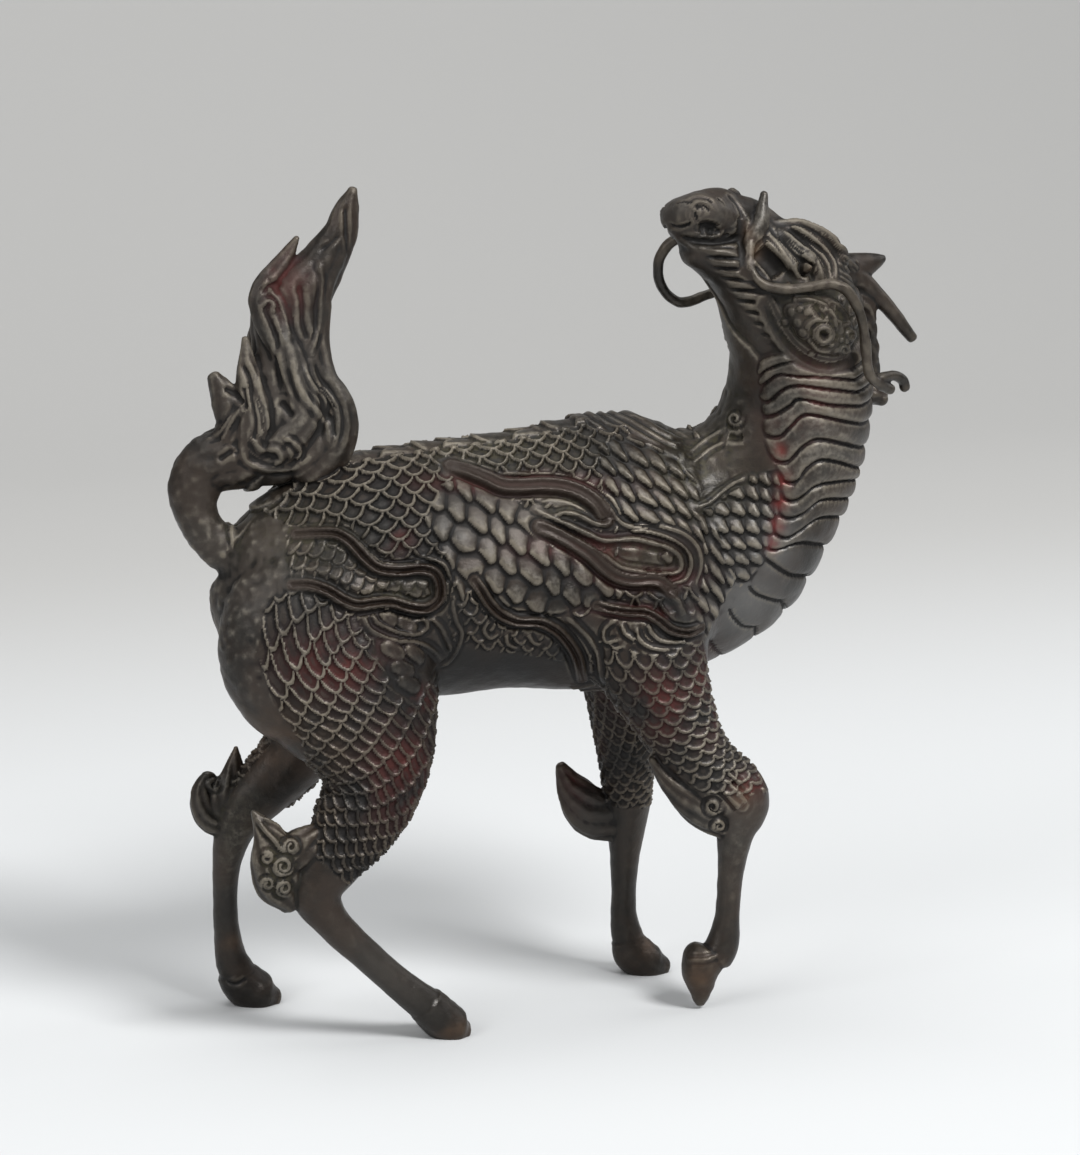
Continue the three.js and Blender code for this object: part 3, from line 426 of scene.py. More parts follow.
def gather_hair(soup):
    """The tufts on the legs, the locks of the tail and the mane, all in strands."""
    for rows in TUFTS:
        soup.body(rows, sides=48, step=0.5, relief=strands(8, 0.55, 1.5))
    soup.body(TAIL[5:], sides=72, step=0.6, relief=strands(9, 0.6, 2.2))
    for i, rows in enumerate(LOCKS):
        soup.body(rows, sides=56, step=0.5, relief=strands(6, 0.5, (-1) ** i * 2.0))
    for lock in MANE:
        rows = [[*place, *size] for place, size in zip(lock, MANE_SIZES)]
        soup.body(rows, sides=48, step=0.4, relief=strands(7, 0.45, 1.2))


def gather_face(soup):
    """The knob on the nose, the horn and its prong, and on each side a tusk and an eye."""
    along, up, size = KNOBS[0]
    soup.head(knob_rows(along, up + 0.3, size), sides=24, step=0.3)
    soup.head(HORN_ROWS, sides=32, step=0.5)
    soup.head(PRONG_ROWS, sides=32, step=0.4)
    x, y, z = EYE_PLACE
    ball = [[x + s * EYE, y, z, EYE * math.sqrt(1 - s * s), EYE * math.sqrt(1 - s * s)]
            for s in (-0.8, -0.4, 0, 0.4, 0.8)]
    for side in (-1, 1):
        soup.head(mirrored(TUSK_ROWS, side), sides=24, step=0.3)
        soup.head(mirrored(ball, side), sides=24, step=0.2)


def gather_back(soup):
    """The plates that stand along the back."""
    for i, (x, z) in enumerate(SPINE):
        x0, z0 = SPINE[max(i - 1, 0)]
        x1, z1 = SPINE[min(i + 1, len(SPINE) - 1)]
        rise = (z1 - z0) / (x1 - x0)
        rows = [[x + s, 0, z + rise * s + lift, depth * SPINE_DEPTH / SHARE, breadth]
                for s, lift, depth, breadth in SPINE_PLATE]
        soup.body(rows, sides=32, step=0.4, bulge=(0.5, 0.5))


def gather_carving(soup):
    """The crisp forms that stand on the body."""
    for rows in HOOVES.values():
        soup.body(rows, sides=32, step=0.4, bulge=(0.15, 0.5))
    gather_hair(soup)
    for places in (LEFT_WHISKER, LEFT_BRANCH, RIGHT_WHISKER):
        at = np.asarray(places, float) * SHARES - MIDDLE
        half = np.full(len(at), WHISKER_DIAMETER / 2)
        loft(soup, (at, half, half), sides=20, step=0.5)
    gather_face(soup)
    gather_back(soup)


def skinned(mesh, voxel, rounds):
    """One closed skin over all that the mesh holds, in millimetres."""
    obj = link("skin", mesh)
    remesh = obj.modifiers.new("skin", "REMESH")
    remesh.mode = "VOXEL"
    remesh.voxel_size = voxel
    soften = obj.modifiers.new("soften", "SMOOTH")
    soften.factor = 0.5
    soften.iterations = rounds
    made = bpy.data.meshes.new_from_object(obj.evaluated_get(bpy.context.evaluated_depsgraph_get()))
    bpy.data.objects.remove(obj)
    bpy.data.meshes.remove(mesh)
    return made


def arrays(mesh):
    """A skin's points and its four-cornered faces."""
    points = np.empty(len(mesh.vertices) * 3, np.float32)
    mesh.vertices.foreach_get("co", points)
    loops = np.empty(len(mesh.loops), np.int32)
    mesh.loops.foreach_get("vertex_index", loops)
    return points.reshape(-1, 3).astype(float), loops.reshape(-1, 4)


def one_part(points, quads):
    """The largest connected part of a skin, without specks."""
    label, old = np.arange(len(points)), None
    while old is None or (label != old).any():
        old = label
        low = old[quads].min(axis=1)
        label = old.copy()
        for corner in quads.T:
            np.minimum.at(label, corner, low)
        label = label[label]
    keep = label == np.bincount(label).argmax()
    place = np.cumsum(keep) - 1
    return points[keep], place[quads[keep[quads[:, 0]]]]


def build_skin():
    """The whole skin, with the bare body under it as a search tree."""
    body = Soup()
    gather_body(body)
    points, quads = arrays(skinned(body.mesh("body"), BLEND_VOXEL, BLEND_ROUNDS))
    tree = BVHTree.FromPolygons(points.tolist(), quads.tolist())
    both = Soup()
    both.add(points, np.concatenate([quads[:, [0, 1, 2]], quads[:, [0, 2, 3]]]))
    gather_carving(both)
    points, quads = one_part(*arrays(skinned(both.mesh("all"), SKIN_VOXEL, SKIN_ROUNDS)))
    return points, quads, tree


def normals_of(points, quads):
    flat = np.cross(points[quads[:, 2]] - points[quads[:, 0]], points[quads[:, 3]] - points[quads[:, 1]])
    total = np.zeros_like(points)
    for k in range(4):
        for axis in range(3):
            total[:, axis] += np.bincount(quads[:, k], flat[:, axis], len(points))
    return total / np.maximum(np.linalg.norm(total, axis=1), 1e-12)[:, None]


def edges_of(quads):
    return np.concatenate([quads[:, [k, (k + 1) % 4]] for k in range(4)])


def averaged(values, pairs, rounds):
    """Each point's values replaced by the mean over its neighbours, several times."""
    count = len(values)
    degree = np.maximum(np.bincount(pairs[:, 0], minlength=count), 1)
    for _ in range(rounds):
        values = np.stack([np.bincount(pairs[:, 0], column[pairs[:, 1]], count) / degree
                           for column in values.T], 1)
    return values


class Chart:
    """Where each point lies along and round a limb or the trunk."""
    SAMPLES = 600

    def __init__(self, rows, points):
        at, depth, breadth = body_stations(rows)
        t = np.linspace(0, 1, self.SAMPLES)
        line = smooth_line(at, t)
        size = smooth_line(np.stack([depth, breadth], 1), t)
        along = np.gradient(line, axis=0)
        along /= np.linalg.norm(along, axis=1)[:, None]
        across = np.array([0, 1.0, 0]) - along[:, 1:2] * along
        across /= np.linalg.norm(across, axis=1)[:, None]
        normal = np.cross(along, across)
        length = np.concatenate([[0], np.cumsum(np.linalg.norm(np.diff(line, axis=0), axis=1))])
        near = np.empty(len(points), int)
        square = (line ** 2).sum(1)
        for s in range(0, len(points), BLOCK):
            near[s:s + BLOCK] = np.argmin(square - 2 * points[s:s + BLOCK] @ line.T, axis=1)
        rel = points - line[near]
        a, n = (rel * across[near]).sum(1), (rel * normal[near]).sum(1)
        self.depth, self.breadth = size[near, 0], size[near, 1]
        self.far = np.hypot(a / self.breadth, n / self.depth)
        self.angle = np.arctan2(n / self.depth, a / self.breadth) % (2 * math.pi)
        self.along = length[near] + (rel * along[near]).sum(1)
        self.share = np.interp(self.along, length, t)

    def turn(self, start):
        """Angle round the section from the angle start, up to half a turn either way."""
        return (self.angle - start + math.pi) % (2 * math.pi) - math.pi

    def arc(self, start):
        """Signed length round the section from the angle start, in millimetres."""
        turn = self.turn(start)
        mean, wave = (self.depth + self.breadth) / 2, (self.depth - self.breadth) / 2
        return turn * mean + wave * (np.sin(2 * (turn + start)) - math.sin(2 * start)) / 2


def flat_pixels(points):
    """Where a point would be seen if it lay in the plane of the near side, for both sides alike."""
    flat = points.copy()
    flat[:, 1] = SIDE_PLANE
    return View.pixels(flat)


def head_pixels(points):
    """Where a point of the head is seen once brought to the near side."""
    side = np.minimum((points - HEAD_AT) @ HEAD_L, 0)
    return View.pixels(points - 2 * side[:, None] * HEAD_L)


def inside_by(pix, polygon):
    """Distance in pixels inside a polygon, negative outside."""
    poly = np.asarray(polygon, float)
    inside = np.zeros(len(pix), bool)
    best = np.full(len(pix), 1e9)
    for a, b in zip(poly, np.roll(poly, -1, axis=0)):
        d = b - a
        f = np.clip(((pix - a) @ d) / (d @ d), 0, 1)
        best = np.minimum(best, np.hypot(*(pix - a - f[:, None] * d).T))
        if a[1] != b[1]:
            at = a[0] + (pix[:, 1] - a[1]) * d[0] / d[1]
            inside ^= ((a[1] > pix[:, 1]) != (b[1] > pix[:, 1])) & (pix[:, 0] < at)
    return np.where(inside, best, -best)


def ramp(x, low, high):
    f = np.clip((x - low) / (high - low), 0, 1)
    return f * f * (3 - 2 * f)


def bell(x, width):
    return np.exp(-(x / width) ** 2)


def dome(x, radius):
    return np.sqrt(np.clip(1 - (x / radius) ** 2, 0, 1))


def hash01(ix, iy, iz, salt):
    """A number from 0 to 1 that is always the same for the same cell of a lattice."""
    n = (ix * 73856093) ^ (iy * 19349663) ^ (iz * 83492791) ^ (salt * 2654435761)
    n = (n ^ (n >> 13)) * 1274126177
    return ((n ^ (n >> 16)) & 0xFFFFFF) / 0xFFFFFF


def waves(points, cell, salt=7):
    """Smooth noise from 0 to 1."""
    p = points / cell
    g = np.floor(p).astype(np.int64)
    f = p - g
    f = f * f * (3 - 2 * f)
    total = np.zeros(len(points))
    for dx in (0, 1):
        for dy in (0, 1):
            for dz in (0, 1):
                w = (np.where(dx, f[:, 0], 1 - f[:, 0]) * np.where(dy, f[:, 1], 1 - f[:, 1])
                     * np.where(dz, f[:, 2], 1 - f[:, 2]))
                total += w * hash01(g[:, 0] + dx, g[:, 1] + dy, g[:, 2] + dz, salt)
    return total


def scales(u, v, wide, row, plump, rim, reach):
    """Height of rows of overlapping scales whose free edges point along v. u and v count scales and rows;
    wide and row are their pitches, and each row's scalloped edge hangs by reach, all in millimetres."""
    height = np.zeros(len(u))
    done = np.zeros(len(u), bool)
    last = math.ceil(np.max(reach / row))
    for back in range(last, -2, -1):
        base = np.floor(v) - back
        a = u - (base % 2) * 0.5
        x = 2 * (a - np.round(a))
        b = (v - base) * row
        rest = np.maximum(1 - x ** 2, 1e-3)
        below = (reach * rest ** 0.6 - b) / np.hypot(1, 2.4 * x * rest ** -0.4 * reach / wide)
        dist = np.where(b > 0, below, np.hypot(b, (1 - np.abs(x)) * wide / 2))
        on = (dist > 0) & ~done
        rise = ramp(b, -row, reach)
        net = bell(dist - 0.9 * rim, 0.8 * rim) - 0.6 + 0.4 * rise + 0.25 * ramp(1.8 * rim - dist, 0, rim)
        drop = 1.25 * dome(x, 1) * rise * ramp(dist, 0, 0.8) - 0.15
        height = np.where(on, net * (1 - plump) + drop * plump, height)
        done |= on
    return height


def drops(u, v, wide, row, half, length):
    """Height of rows of long drops, each row lying on the next and ending in a round, steep foot."""
    height = np.full(len(u), -0.8)
    for back in range(math.ceil(np.max(length / row)) + 1):
        base = np.floor(v) - back
        a = (u - (base % 2) * 0.5 + 0.5) % 1 - 0.5
        share = (v - base) * row / length
        breadth = half * np.clip((1 - share) / 0.42, 1e-6, 1) ** 0.62
        s = np.clip(0.5 + 0.5 * a * wide / breadth, 0, 1)
        across = 1.95 * s ** 0.35 * (1 - s) ** 0.7
        lift = across * (0.2 + 1.8 * ramp(share, 0.1, 0.85)) * ramp(1 - share, 0, 0.14) * (share > 0)
        height = np.maximum(height, lift - 0.8)
    return height


def counted(limb):
    """Rows counted along a limb whose scales shrink, and the factor they shrink by, for a unit row."""
    along = np.linspace(limb.along.min(), limb.along.max(), 400)
    order = np.argsort(limb.along)
    share = np.interp(along, limb.along[order], limb.share[order])
    factor = np.interp(share, *TAPER)
    count = np.concatenate([[0], np.cumsum(np.diff(along) / ((factor[1:] + factor[:-1]) / 2))])
    return np.interp(limb.along, along, count), np.interp(limb.along, along, factor)


def section(kind, d, half):
    """Height across a stroke of carving at a distance from its middle line."""
    if kind == "double":
        return (bell(d - 0.95 * half, 0.5 * half) - 0.3 * bell(d, 0.38 * half)
                - 0.6 * bell(d - 2.3 * half, 0.6 * half))
    if kind == "broad":
        return (np.minimum(1.5 * dome(d, 1.15 * half), 1) - 0.5 * bell(d, 0.6 * half)
                - 0.6 * bell(d - 1.5 * half, 0.35 * half))
    if kind == "groove":
        return 0.2 * bell(d - 2 * half, 0.8 * half) - bell(d, 0.85 * half)
    if kind == "bowl":
        return 0.25 * bell(d - 1.15 * half, 0.25 * half) - dome(d, half)
    if kind == "bead":
        return dome(d, half) - 0.35 * bell(d - 1.35 * half, 0.4 * half)
    if kind == "swell":
        return bell(d, 0.62 * half)
    return bell(d, 0.75 * half) - 0.4 * bell(d - 1.9 * half, 0.7 * half)


RING_POINTS = 14


def ring(x, y, radius, turns=1.0, start=0.0):
    """Pixels of a ring, or of a spiral that closes in when it turns more than once."""
    reach = np.linspace(1, 1 if turns <= 1 else 0.25, RING_POINTS)
    angle = start + np.linspace(0, 2 * math.pi * turns, RING_POINTS)
    return [(x + radius * r * math.cos(a), y + radius * r * math.sin(a)) for r, a in zip(reach, angle)]


# Each stroke: the kind of section, its half width and height in millimetres, and its middle line in pixels.
SCROLLS = [
    ("double", 1.0, 1.3, [(296, 534), (318, 533), (336, 534), (350, 542), (364, 557), (378, 568),
        (398, 571), (420, 569), (434, 573), (440, 585), (438, 600), (426, 608), (410, 607), (392, 602),
        (374, 603), (357, 605), (343, 600), (328, 591), (310, 585), (292, 585)]),
    ("ridge", 0.7, 0.7, [(346, 530), (358, 541), (371, 554), (386, 562), (406, 563), (428, 560), (444, 566),
        (448, 580), (446, 600), (441, 612)]),
    ("ridge", 0.8, 0.8, [(371, 612), (377, 622), (389, 629), (404, 634), (418, 634), (427, 627), (424, 619),
        (414, 622)]),
    ("ridge", 0.8, 0.8, [(362, 612), (369, 628), (382, 636), (398, 641), (414, 642), (430, 648),
        (442, 660)]),
    ("bead", 2.0, 0.8, [(386, 615), (392, 620)]),
    ("bead", 2.1, 0.8, [(402, 622), (410, 627)]),
    ("bead", 2.2, 0.9, [(388, 647), (398, 654)]),
    ("bead", 2.1, 0.9, [(410, 650), (419, 657)]),
    ("bead", 2.2, 0.9, [(398, 666), (408, 671)]),
    ("bead", 2.2, 0.9, [(404, 680), (414, 686)]),
    ("ridge", 0.7, 0.6, [(430, 618), (440, 626), (447, 640), (452, 652)]),
    ("ridge", 0.6, 0.6, [(452, 600), (456, 620), (462, 634), (456, 652), (446, 664), (432, 680)]),
    ("double", 0.95, 1.3, [(474, 580), (481, 590), (490, 604), (502, 615), (517, 621), (538, 622),
        (556, 630), (570, 645), (578, 660), (583, 680)]),
    ("ridge", 0.8, 0.8, [(566, 617), (578, 627), (590, 640), (598, 656), (602, 680)]),
    ("ridge", 0.6, 0.7, [(488, 622), (484, 630), (490, 638), (498, 634)]),
    ("ridge", 0.6, 0.7, [(506, 634), (508, 644), (517, 648)]),
    ("ridge", 0.6, 0.7, [(528, 634), (533, 642), (540, 645)]),
    ("broad", 1.8, 1.4, [(452, 465), (468, 471), (486, 478), (502, 485), (520, 486), (545, 485), (565, 487),
        (582, 493), (596, 503), (607, 518)]),
    ("ridge", 0.6, 0.7, [(508, 474), (530, 475), (556, 476), (578, 481), (594, 489), (607, 503), (618, 520),
        (632, 527), (655, 528)]),
    ("ridge", 0.7, 0.9, [(552, 517), (566, 513), (580, 516), (594, 523), (606, 525), (612, 519)]),
    ("ridge", 0.9, 1.3, [(536, 510), (552, 518), (570, 526), (588, 534), (602, 540), (616, 540), (634, 539),
        (652, 543), (668, 548), (679, 557), (680, 568), (672, 573), (656, 573), (638, 571), (620, 567),
        (604, 556), (590, 546), (570, 535), (548, 525)]),
    ("broad", 1.6, 1.4, [(540, 527), (556, 534), (574, 544), (590, 555), (602, 566), (616, 576), (632, 580),
        (650, 580), (660, 582), (672, 590)]),
    ("ridge", 0.7, 0.8, [(622, 532), (646, 532), (668, 538), (684, 548), (691, 562), (686, 578),
        (672, 584)]),
    ("ridge", 0.6, 0.6, [(660, 526), (684, 534), (698, 548), (701, 566), (696, 584)]),
    ("ridge", 1.0, 0.8, [(668, 592), (678, 602), (684, 616)]),
    ("bead", 1.3, 0.8, [(666, 556), (669, 559)]),
    ("double", 0.85, 1.2, [(596, 605), (612, 609), (630, 612), (646, 613), (660, 621), (672, 630),
        (688, 633), (702, 628)]),
    ("ridge", 0.6, 0.8, [(648, 624), (652, 633), (662, 641), (676, 642), (690, 640)]),
    ("ridge", 0.6, 0.8, [(636, 628), (640, 640), (652, 648), (668, 650)]),
    ("ridge", 0.6, 0.8, [(621, 624), (626, 634), (636, 640)]),
    ("ridge", 0.6, 0.7, ring(735, 419, 7, 1.3)),
    ("groove", 1.0, 0.9, [(728, 436), (736, 438), (743, 436)]),
    ("ridge", 0.6, 0.6, [(697, 508), (710, 502), (722, 492), (733, 484), (745, 478)]),
    ("ridge", 0.7, 0.6, [(690, 452), (706, 440), (722, 430)]),
    ("ridge", 0.7, 0.5, [(694, 462), (709, 450), (724, 442)]),
]
HEAD_STROKES = [
    ("swell", 6.0, 0.8, [(722, 213)]),
    ("swell", 4.4, 0.6, [(684, 214)]),
    ("groove", 1.7, 1.5, [(699, 229), (707, 227), (716, 230)]),
    ("ridge", 0.7, 0.6, [(694, 224), (690, 214), (694, 204), (702, 202), (708, 207)]),
    ("ridge", 0.8, 0.6, [(699, 236), (709, 237), (719, 235), (724, 229)]),
    ("groove", 0.6, 0.7, [(670, 225), (680, 227), (691, 223)]),
    ("groove", 0.6, 0.6, [(716, 198), (724, 207), (730, 220)]),
    ("groove", 0.6, 0.6, [(728, 195), (737, 205), (743, 219)]),
    ("ridge", 0.6, 0.6, [(676, 208), (688, 206), (697, 212)]),
    ("ridge", 0.6, 0.6, [(704, 200), (712, 208), (722, 222)]),
    ("groove", 1.0, 1.1, [(667, 234), (680, 238), (694, 241), (714, 242), (730, 240), (742, 236)]),
    ("ridge", 1.3, 0.9, [(747, 216), (749, 232), (749, 250), (748, 272)]),
    ("bowl", 2.9, 1.9, [(757, 251), (765, 258), (773, 267), (779, 276)]),
    ("ridge", 1.1, 0.8, [(762, 228), (773, 240), (784, 255), (793, 268), (801, 280)]),
    ("groove", 1.0, 1.5, [(779, 235), (790, 247), (800, 258), (809, 269), (814, 282)]),
    ("ridge", 0.9, 1.0, [(783, 231), (796, 243), (809, 254), (818, 266), (822, 280)]),
    ("groove", 0.6, 0.9, [(788, 228), (803, 240), (817, 252), (826, 265), (829, 281)]),
    ("ridge", 0.7, 0.8, [(792, 225), (808, 235), (823, 247), (833, 261), (836, 280)]),
    ("groove", 0.6, 0.8, [(797, 223), (814, 231), (829, 243), (840, 258)]),
    ("ridge", 0.8, 0.8, [(776, 221), (798, 221), (815, 226), (831, 235), (842, 247), (850, 262)]),
    ("bead", 1.3, 3.0, [(806, 268)]),
    ("ridge", 0.8, 0.7, ring(824, 335, 7, 1.0)),
    ("groove", 1.1, 1.2, [(823, 334), (825, 336)]),
    ("ridge", 0.8, 0.4, [(806, 330), (812, 322), (822, 320), (830, 324)]),
    ("ridge", 0.7, 0.5, [(812, 342), (818, 350), (830, 352)]),
    ("bowl", 2.2, 1.5, [(836, 310), (844, 316), (847, 324)]),
    ("groove", 1.0, 1.0, [(814, 303), (820, 312), (826, 318)]),
    ("ridge", 0.7, 0.8, [(828, 308), (834, 317), (836, 327)]),
    ("ridge", 0.6, 0.5, ring(851, 334, 5, 1.4)),
    ("ridge", 0.6, 0.5, ring(845, 350, 5, 1.4, 2.0)),
    ("ridge", 0.6, 0.6, [(797, 299), (812, 300), (828, 306)]),
    ("ridge", 0.9, 0.15, [(768, 300), (778, 322), (792, 342), (808, 355), (828, 362), (848, 356)]),
    ("groove", 1.2, 0.6, [(764, 304), (775, 328), (790, 348), (808, 361), (828, 367), (850, 361)]),
]
# Beads on the head: half width, height and places.
HEAD_BEADS = [
    (1.2, 0.3, [(791, 312), (802, 333), (808, 312), (797, 323), (838, 350)]),
    (0.9, 0.4, [(812, 354), (847, 341), (785, 322), (800, 309)]),
    (0.8, 0.4, [(851, 255), (846, 268)]),
    (0.8, 0.4, [(843, 300), (853, 310), (857, 322), (842, 340), (832, 345)]),
]
TAIL_STROKES = [
    ("groove", 0.8, 1.1, [(315, 362), (321, 378), (332, 392), (341, 408), (343, 428), (337, 450)]),
    ("ridge", 0.9, 0.8, [(292, 362), (296, 380), (304, 396), (316, 410), (326, 424), (330, 444)]),
    ("ridge", 0.7, 0.6, [(304, 366), (312, 384), (324, 398), (332, 414)]),
    ("groove", 0.9, 1.1, [(299, 284), (302, 304), (303, 324), (308, 340)]),
    ("groove", 0.7, 1.0, [(266, 302), (266, 312), (272, 326), (277, 342), (277, 362), (280, 388)]),
    ("ridge", 0.7, 0.8, [(274, 314), (273, 304), (267, 301), (263, 308)]),
    ("groove", 0.8, 1.0, [(242, 364), (250, 378), (252, 398), (256, 422), (254, 440)]),
    ("ridge", 0.9, 0.8, [(258, 372), (260, 392), (266, 412), (268, 432)]),
    ("ridge", 0.9, 0.9, [(252, 438), (262, 450), (276, 450), (281, 458), (274, 466)]),
    ("ridge", 0.7, 0.8, [(284, 438), (294, 443), (300, 452), (296, 460)]),
    ("groove", 0.9, 1.0, [(283, 404), (290, 413)]),
    ("ridge", 0.9, 0.8, [(240, 446), (248, 462), (268, 470), (292, 468), (312, 456)]),
    ("groove", 0.8, 0.9, [(224, 388), (236, 394), (244, 404)]),
    ("groove", 0.7, 0.8, [(232, 376), (244, 390), (246, 406)]),
    ("groove", 0.7, 0.9, [(222, 458), (230, 452)]),
    ("ridge", 0.8, 0.7, [(222, 440), (230, 424), (240, 408)]),
    ("ridge", 0.7, 0.6, [(206, 440), (220, 432), (232, 416)]),
    ("groove", 0.6, 0.7, [(345, 208), (346, 230), (347, 252)]),
    ("groove", 0.6, 0.6, [(322, 250), (332, 242), (338, 236)]),
    ("ridge", 0.7, 0.6, [(318, 262), (322, 284), (320, 306), (318, 330), (312, 352)]),
    ("ridge", 0.8, 0.7, [(262, 282), (270, 290), (278, 300), (284, 316), (290, 336)]),
    ("groove", 0.8, 0.8, [(262, 294), (270, 286), (280, 284)]),
]
LEG_STROKES = [
    ("ridge", 0.7, 0.9, ring(713, 806, 8, 1.6)),
    ("ridge", 0.6, 0.8, ring(719, 826, 6, 1.5, 2.0)),
    ("broad", 1.6, 0.8, [(723, 784), (733, 794), (743, 806)]),
    ("ridge", 0.6, 0.7, [(728, 772), (734, 779), (742, 785)]),
    ("ridge", 0.6, 0.5, [(673, 957), (688, 960), (704, 960), (718, 956)]),
    ("groove", 0.5, 0.6, [(226, 981), (236, 984), (246, 978)]),
    ("ridge", 0.7, 0.8, ring(283, 866, 10, 1.8)),
    ("ridge", 0.7, 0.8, ring(284, 888, 8, 1.6, 1.0)),
    ("ridge", 0.7, 0.8, ring(291, 847, 8, 1.6, 2.0)),
    ("ridge", 0.6, 0.7, ring(268, 884, 6, 1.4, 3.0)),
    ("ridge", 0.6, 0.7, ring(267, 858, 6, 1.4, 4.0)),
    ("ridge", 0.6, 0.7, [(258, 820), (266, 832), (276, 842), (282, 852)]),
    ("ridge", 0.6, 0.7, [(264, 818), (278, 826), (292, 834)]),
    ("ridge", 0.6, 0.6, ring(214, 784, 6, 1.4)),
    ("ridge", 0.6, 0.7, [(614, 620), (604, 630), (606, 642), (618, 640)]),
]
TAIL_RELIEF = 0.75


def seat(tree, pixels):
    """Places on the skin under the pixels."""
    hits = [tree.ray_cast(Vector(View.eye), Vector(View.ray(px, py)))[0] for px, py in pixels]
    return np.array([h for h in hits if h is not None])


def seat_across(tree, places, out, reach=60.0):
    """The same places on the other side, found from outside along the direction out."""
    hits = [tree.ray_cast(Vector(p + out * reach), Vector(-out))[0] for p in places]
    return np.array([h for h in hits if h is not None])


def over_body(tree, places):
    """Places mirrored to the body's far side."""
    return seat_across(tree, places * (1, -1, 1), np.array([0, 1.0, 0]))


def over_head(tree, places):
    """Places mirrored to the head's far side."""
    flipped = places - 2 * ((places - HEAD_AT) @ HEAD_L)[:, None] * HEAD_L
    return seat_across(tree, flipped, -HEAD_L)


def along_curve(points, places, reach, step=0.4):
    """Points within reach of the smooth curve through the places, their distances and shares of the way."""
    if len(places) > 1:
        length = np.linalg.norm(np.diff(places, axis=0), axis=1).sum()
        places = smooth_line(places, np.linspace(0, 1, max(6, int(length / step))))
    near = np.flatnonzero(((points > places.min(0) - reach) & (points < places.max(0) + reach)).all(1))
    dist, share = np.empty(len(near)), np.empty(len(near))
    for s in range(0, len(near), BLOCK):
        gap = ((points[near[s:s + BLOCK], None] - places[None]) ** 2).sum(2)
        k = gap.argmin(1)
        dist[s:s + BLOCK] = np.sqrt(gap[np.arange(len(k)), k])
        share[s:s + BLOCK] = k / max(len(places) - 1, 1)
    keep = dist < reach
    return near[keep], dist[keep], share[keep]


class Strokes:
    """Strokes of carving gathered over the skin, how far each clears the scales beside it, and the smooth
    surface of the ribbons."""

    def __init__(self, points):
        self.points = points
        self.height = np.zeros(len(points))
        self.clear = np.ones(len(points))
        self.satin = np.zeros(len(points))

    def add(self, kind, half, tall, places):
        if len(places) == 0:
            return
        reach = 3.4 * half if kind != "swell" else 1.6 * half
        index, d, share = along_curve(self.points, places, reach)
        ends = 1.0 if len(places) < 3 else np.minimum(1, 7 * np.minimum(share, 1 - share) + 0.2)
        made = tall * section(kind, d, half) * ends
        if kind == "swell":
            self.height[index] += made
            return
        old = self.height[index]
        self.height[index] = np.where(np.abs(made) > np.abs(old), made, old)
        self.clear[index] = np.minimum(self.clear[index], ramp(d, 1.5 * half, 2.6 * half))
        if kind in ("broad", "double"):
            self.satin[index] = np.maximum(self.satin[index], ramp(-d, -1.6 * half, -1.2 * half))

    def draw(self, tree, table, across=None):
        """Draws a table of strokes on the near side and, where across gives the other side, there too."""
        for kind, half, tall, pixels in table:
            near = seat(tree, pixels)
            self.add(kind, half, tall, near)
            if across is not None and len(near):
                self.add(kind, half, tall, across(tree, near))


# Plates across the throat and chest: pixels along the groove above each, from the left border.
PLATE_LINES = [
    [(757, 379), (770, 368), (797, 361), (830, 364), (850, 370)],
    [(756, 391), (765, 383), (779, 374), (797, 376), (820, 377), (852, 380)],
    [(758, 402), (770, 401), (784, 389), (800, 385), (820, 388), (855, 392)],
    [(761, 417), (774, 415), (790, 406), (800, 399), (830, 405), (858, 406)],
    [(761, 435), (779, 437), (790, 427), (803, 415), (820, 416), (848, 422), (860, 424)],
    [(765, 455), (774, 461), (788, 462), (802, 448), (820, 440), (859, 448)],
    [(770, 476), (793, 483), (807, 468), (825, 460), (858, 468)],
    [(774, 491), (786, 500), (797, 500), (816, 486), (848, 480)],
    [(770, 508), (786, 518), (800, 515), (820, 500), (848, 498)],
    [(765, 527), (784, 538), (800, 530), (818, 518), (839, 516)],
    [(765, 547), (774, 550), (797, 543), (822, 545)],
    [(765, 558), (784, 572), (795, 576), (806, 575)],
    [(746, 584), (756, 594), (770, 599), (782, 601)],
    [(727, 606), (733, 617), (742, 626), (755, 627)],
    [(708, 638), (716, 650), (724, 656)],
]
PLATE_BORDER = [
    (748, 348), (757, 371), (760, 392), (761, 417), (762, 437), (768, 455), (779, 474), (780, 492),
    (777, 510), (771, 530), (763, 556), (746, 585), (727, 606), (708, 640),
]
PLATE_FAR_EDGE = math.radians(57)
# The share of the way along the trunk above which plates are rounded.
SMOOTH_PLATES_FROM = 0.50
# The angle round the neck of the middle of the plates, by the share of the way along the trunk.
PLATE_TURN = np.array([[0.5, 270], [0.6, 262], [0.66, 240], [0.71, 212], [0.76, 192], [0.81, 176],
                       [0.87, 135], [0.93, 112], [1, 106]], float)


def bend_of(chart):
    """Angle round the neck from the middle of the plates."""
    return chart.turn(np.radians(np.interp(chart.share, PLATE_TURN[:, 0], PLATE_TURN[:, 1])))


def plate_grooves(tree, bend):
    """Where grooves cross each bend, as shares of the way, from the throat down, with even ones below."""
    rows = []
    for pixels in PLATE_LINES:
        line = Chart(TRUNK, seat(tree, smooth_line(pixels, np.linspace(0, 1, 24))))
        order = np.argsort(bend_of(line))
        rows.append(np.interp(bend, bend_of(line)[order], line.share[order]))
    shares = np.stack(rows)
    below = [shares[-1:] - 0.028 * k for k in (1, 2, 3, 4, 5)]
    return np.sort(np.vstack([shares[:1] + 0.022, shares, *below]), axis=0)[::-1]


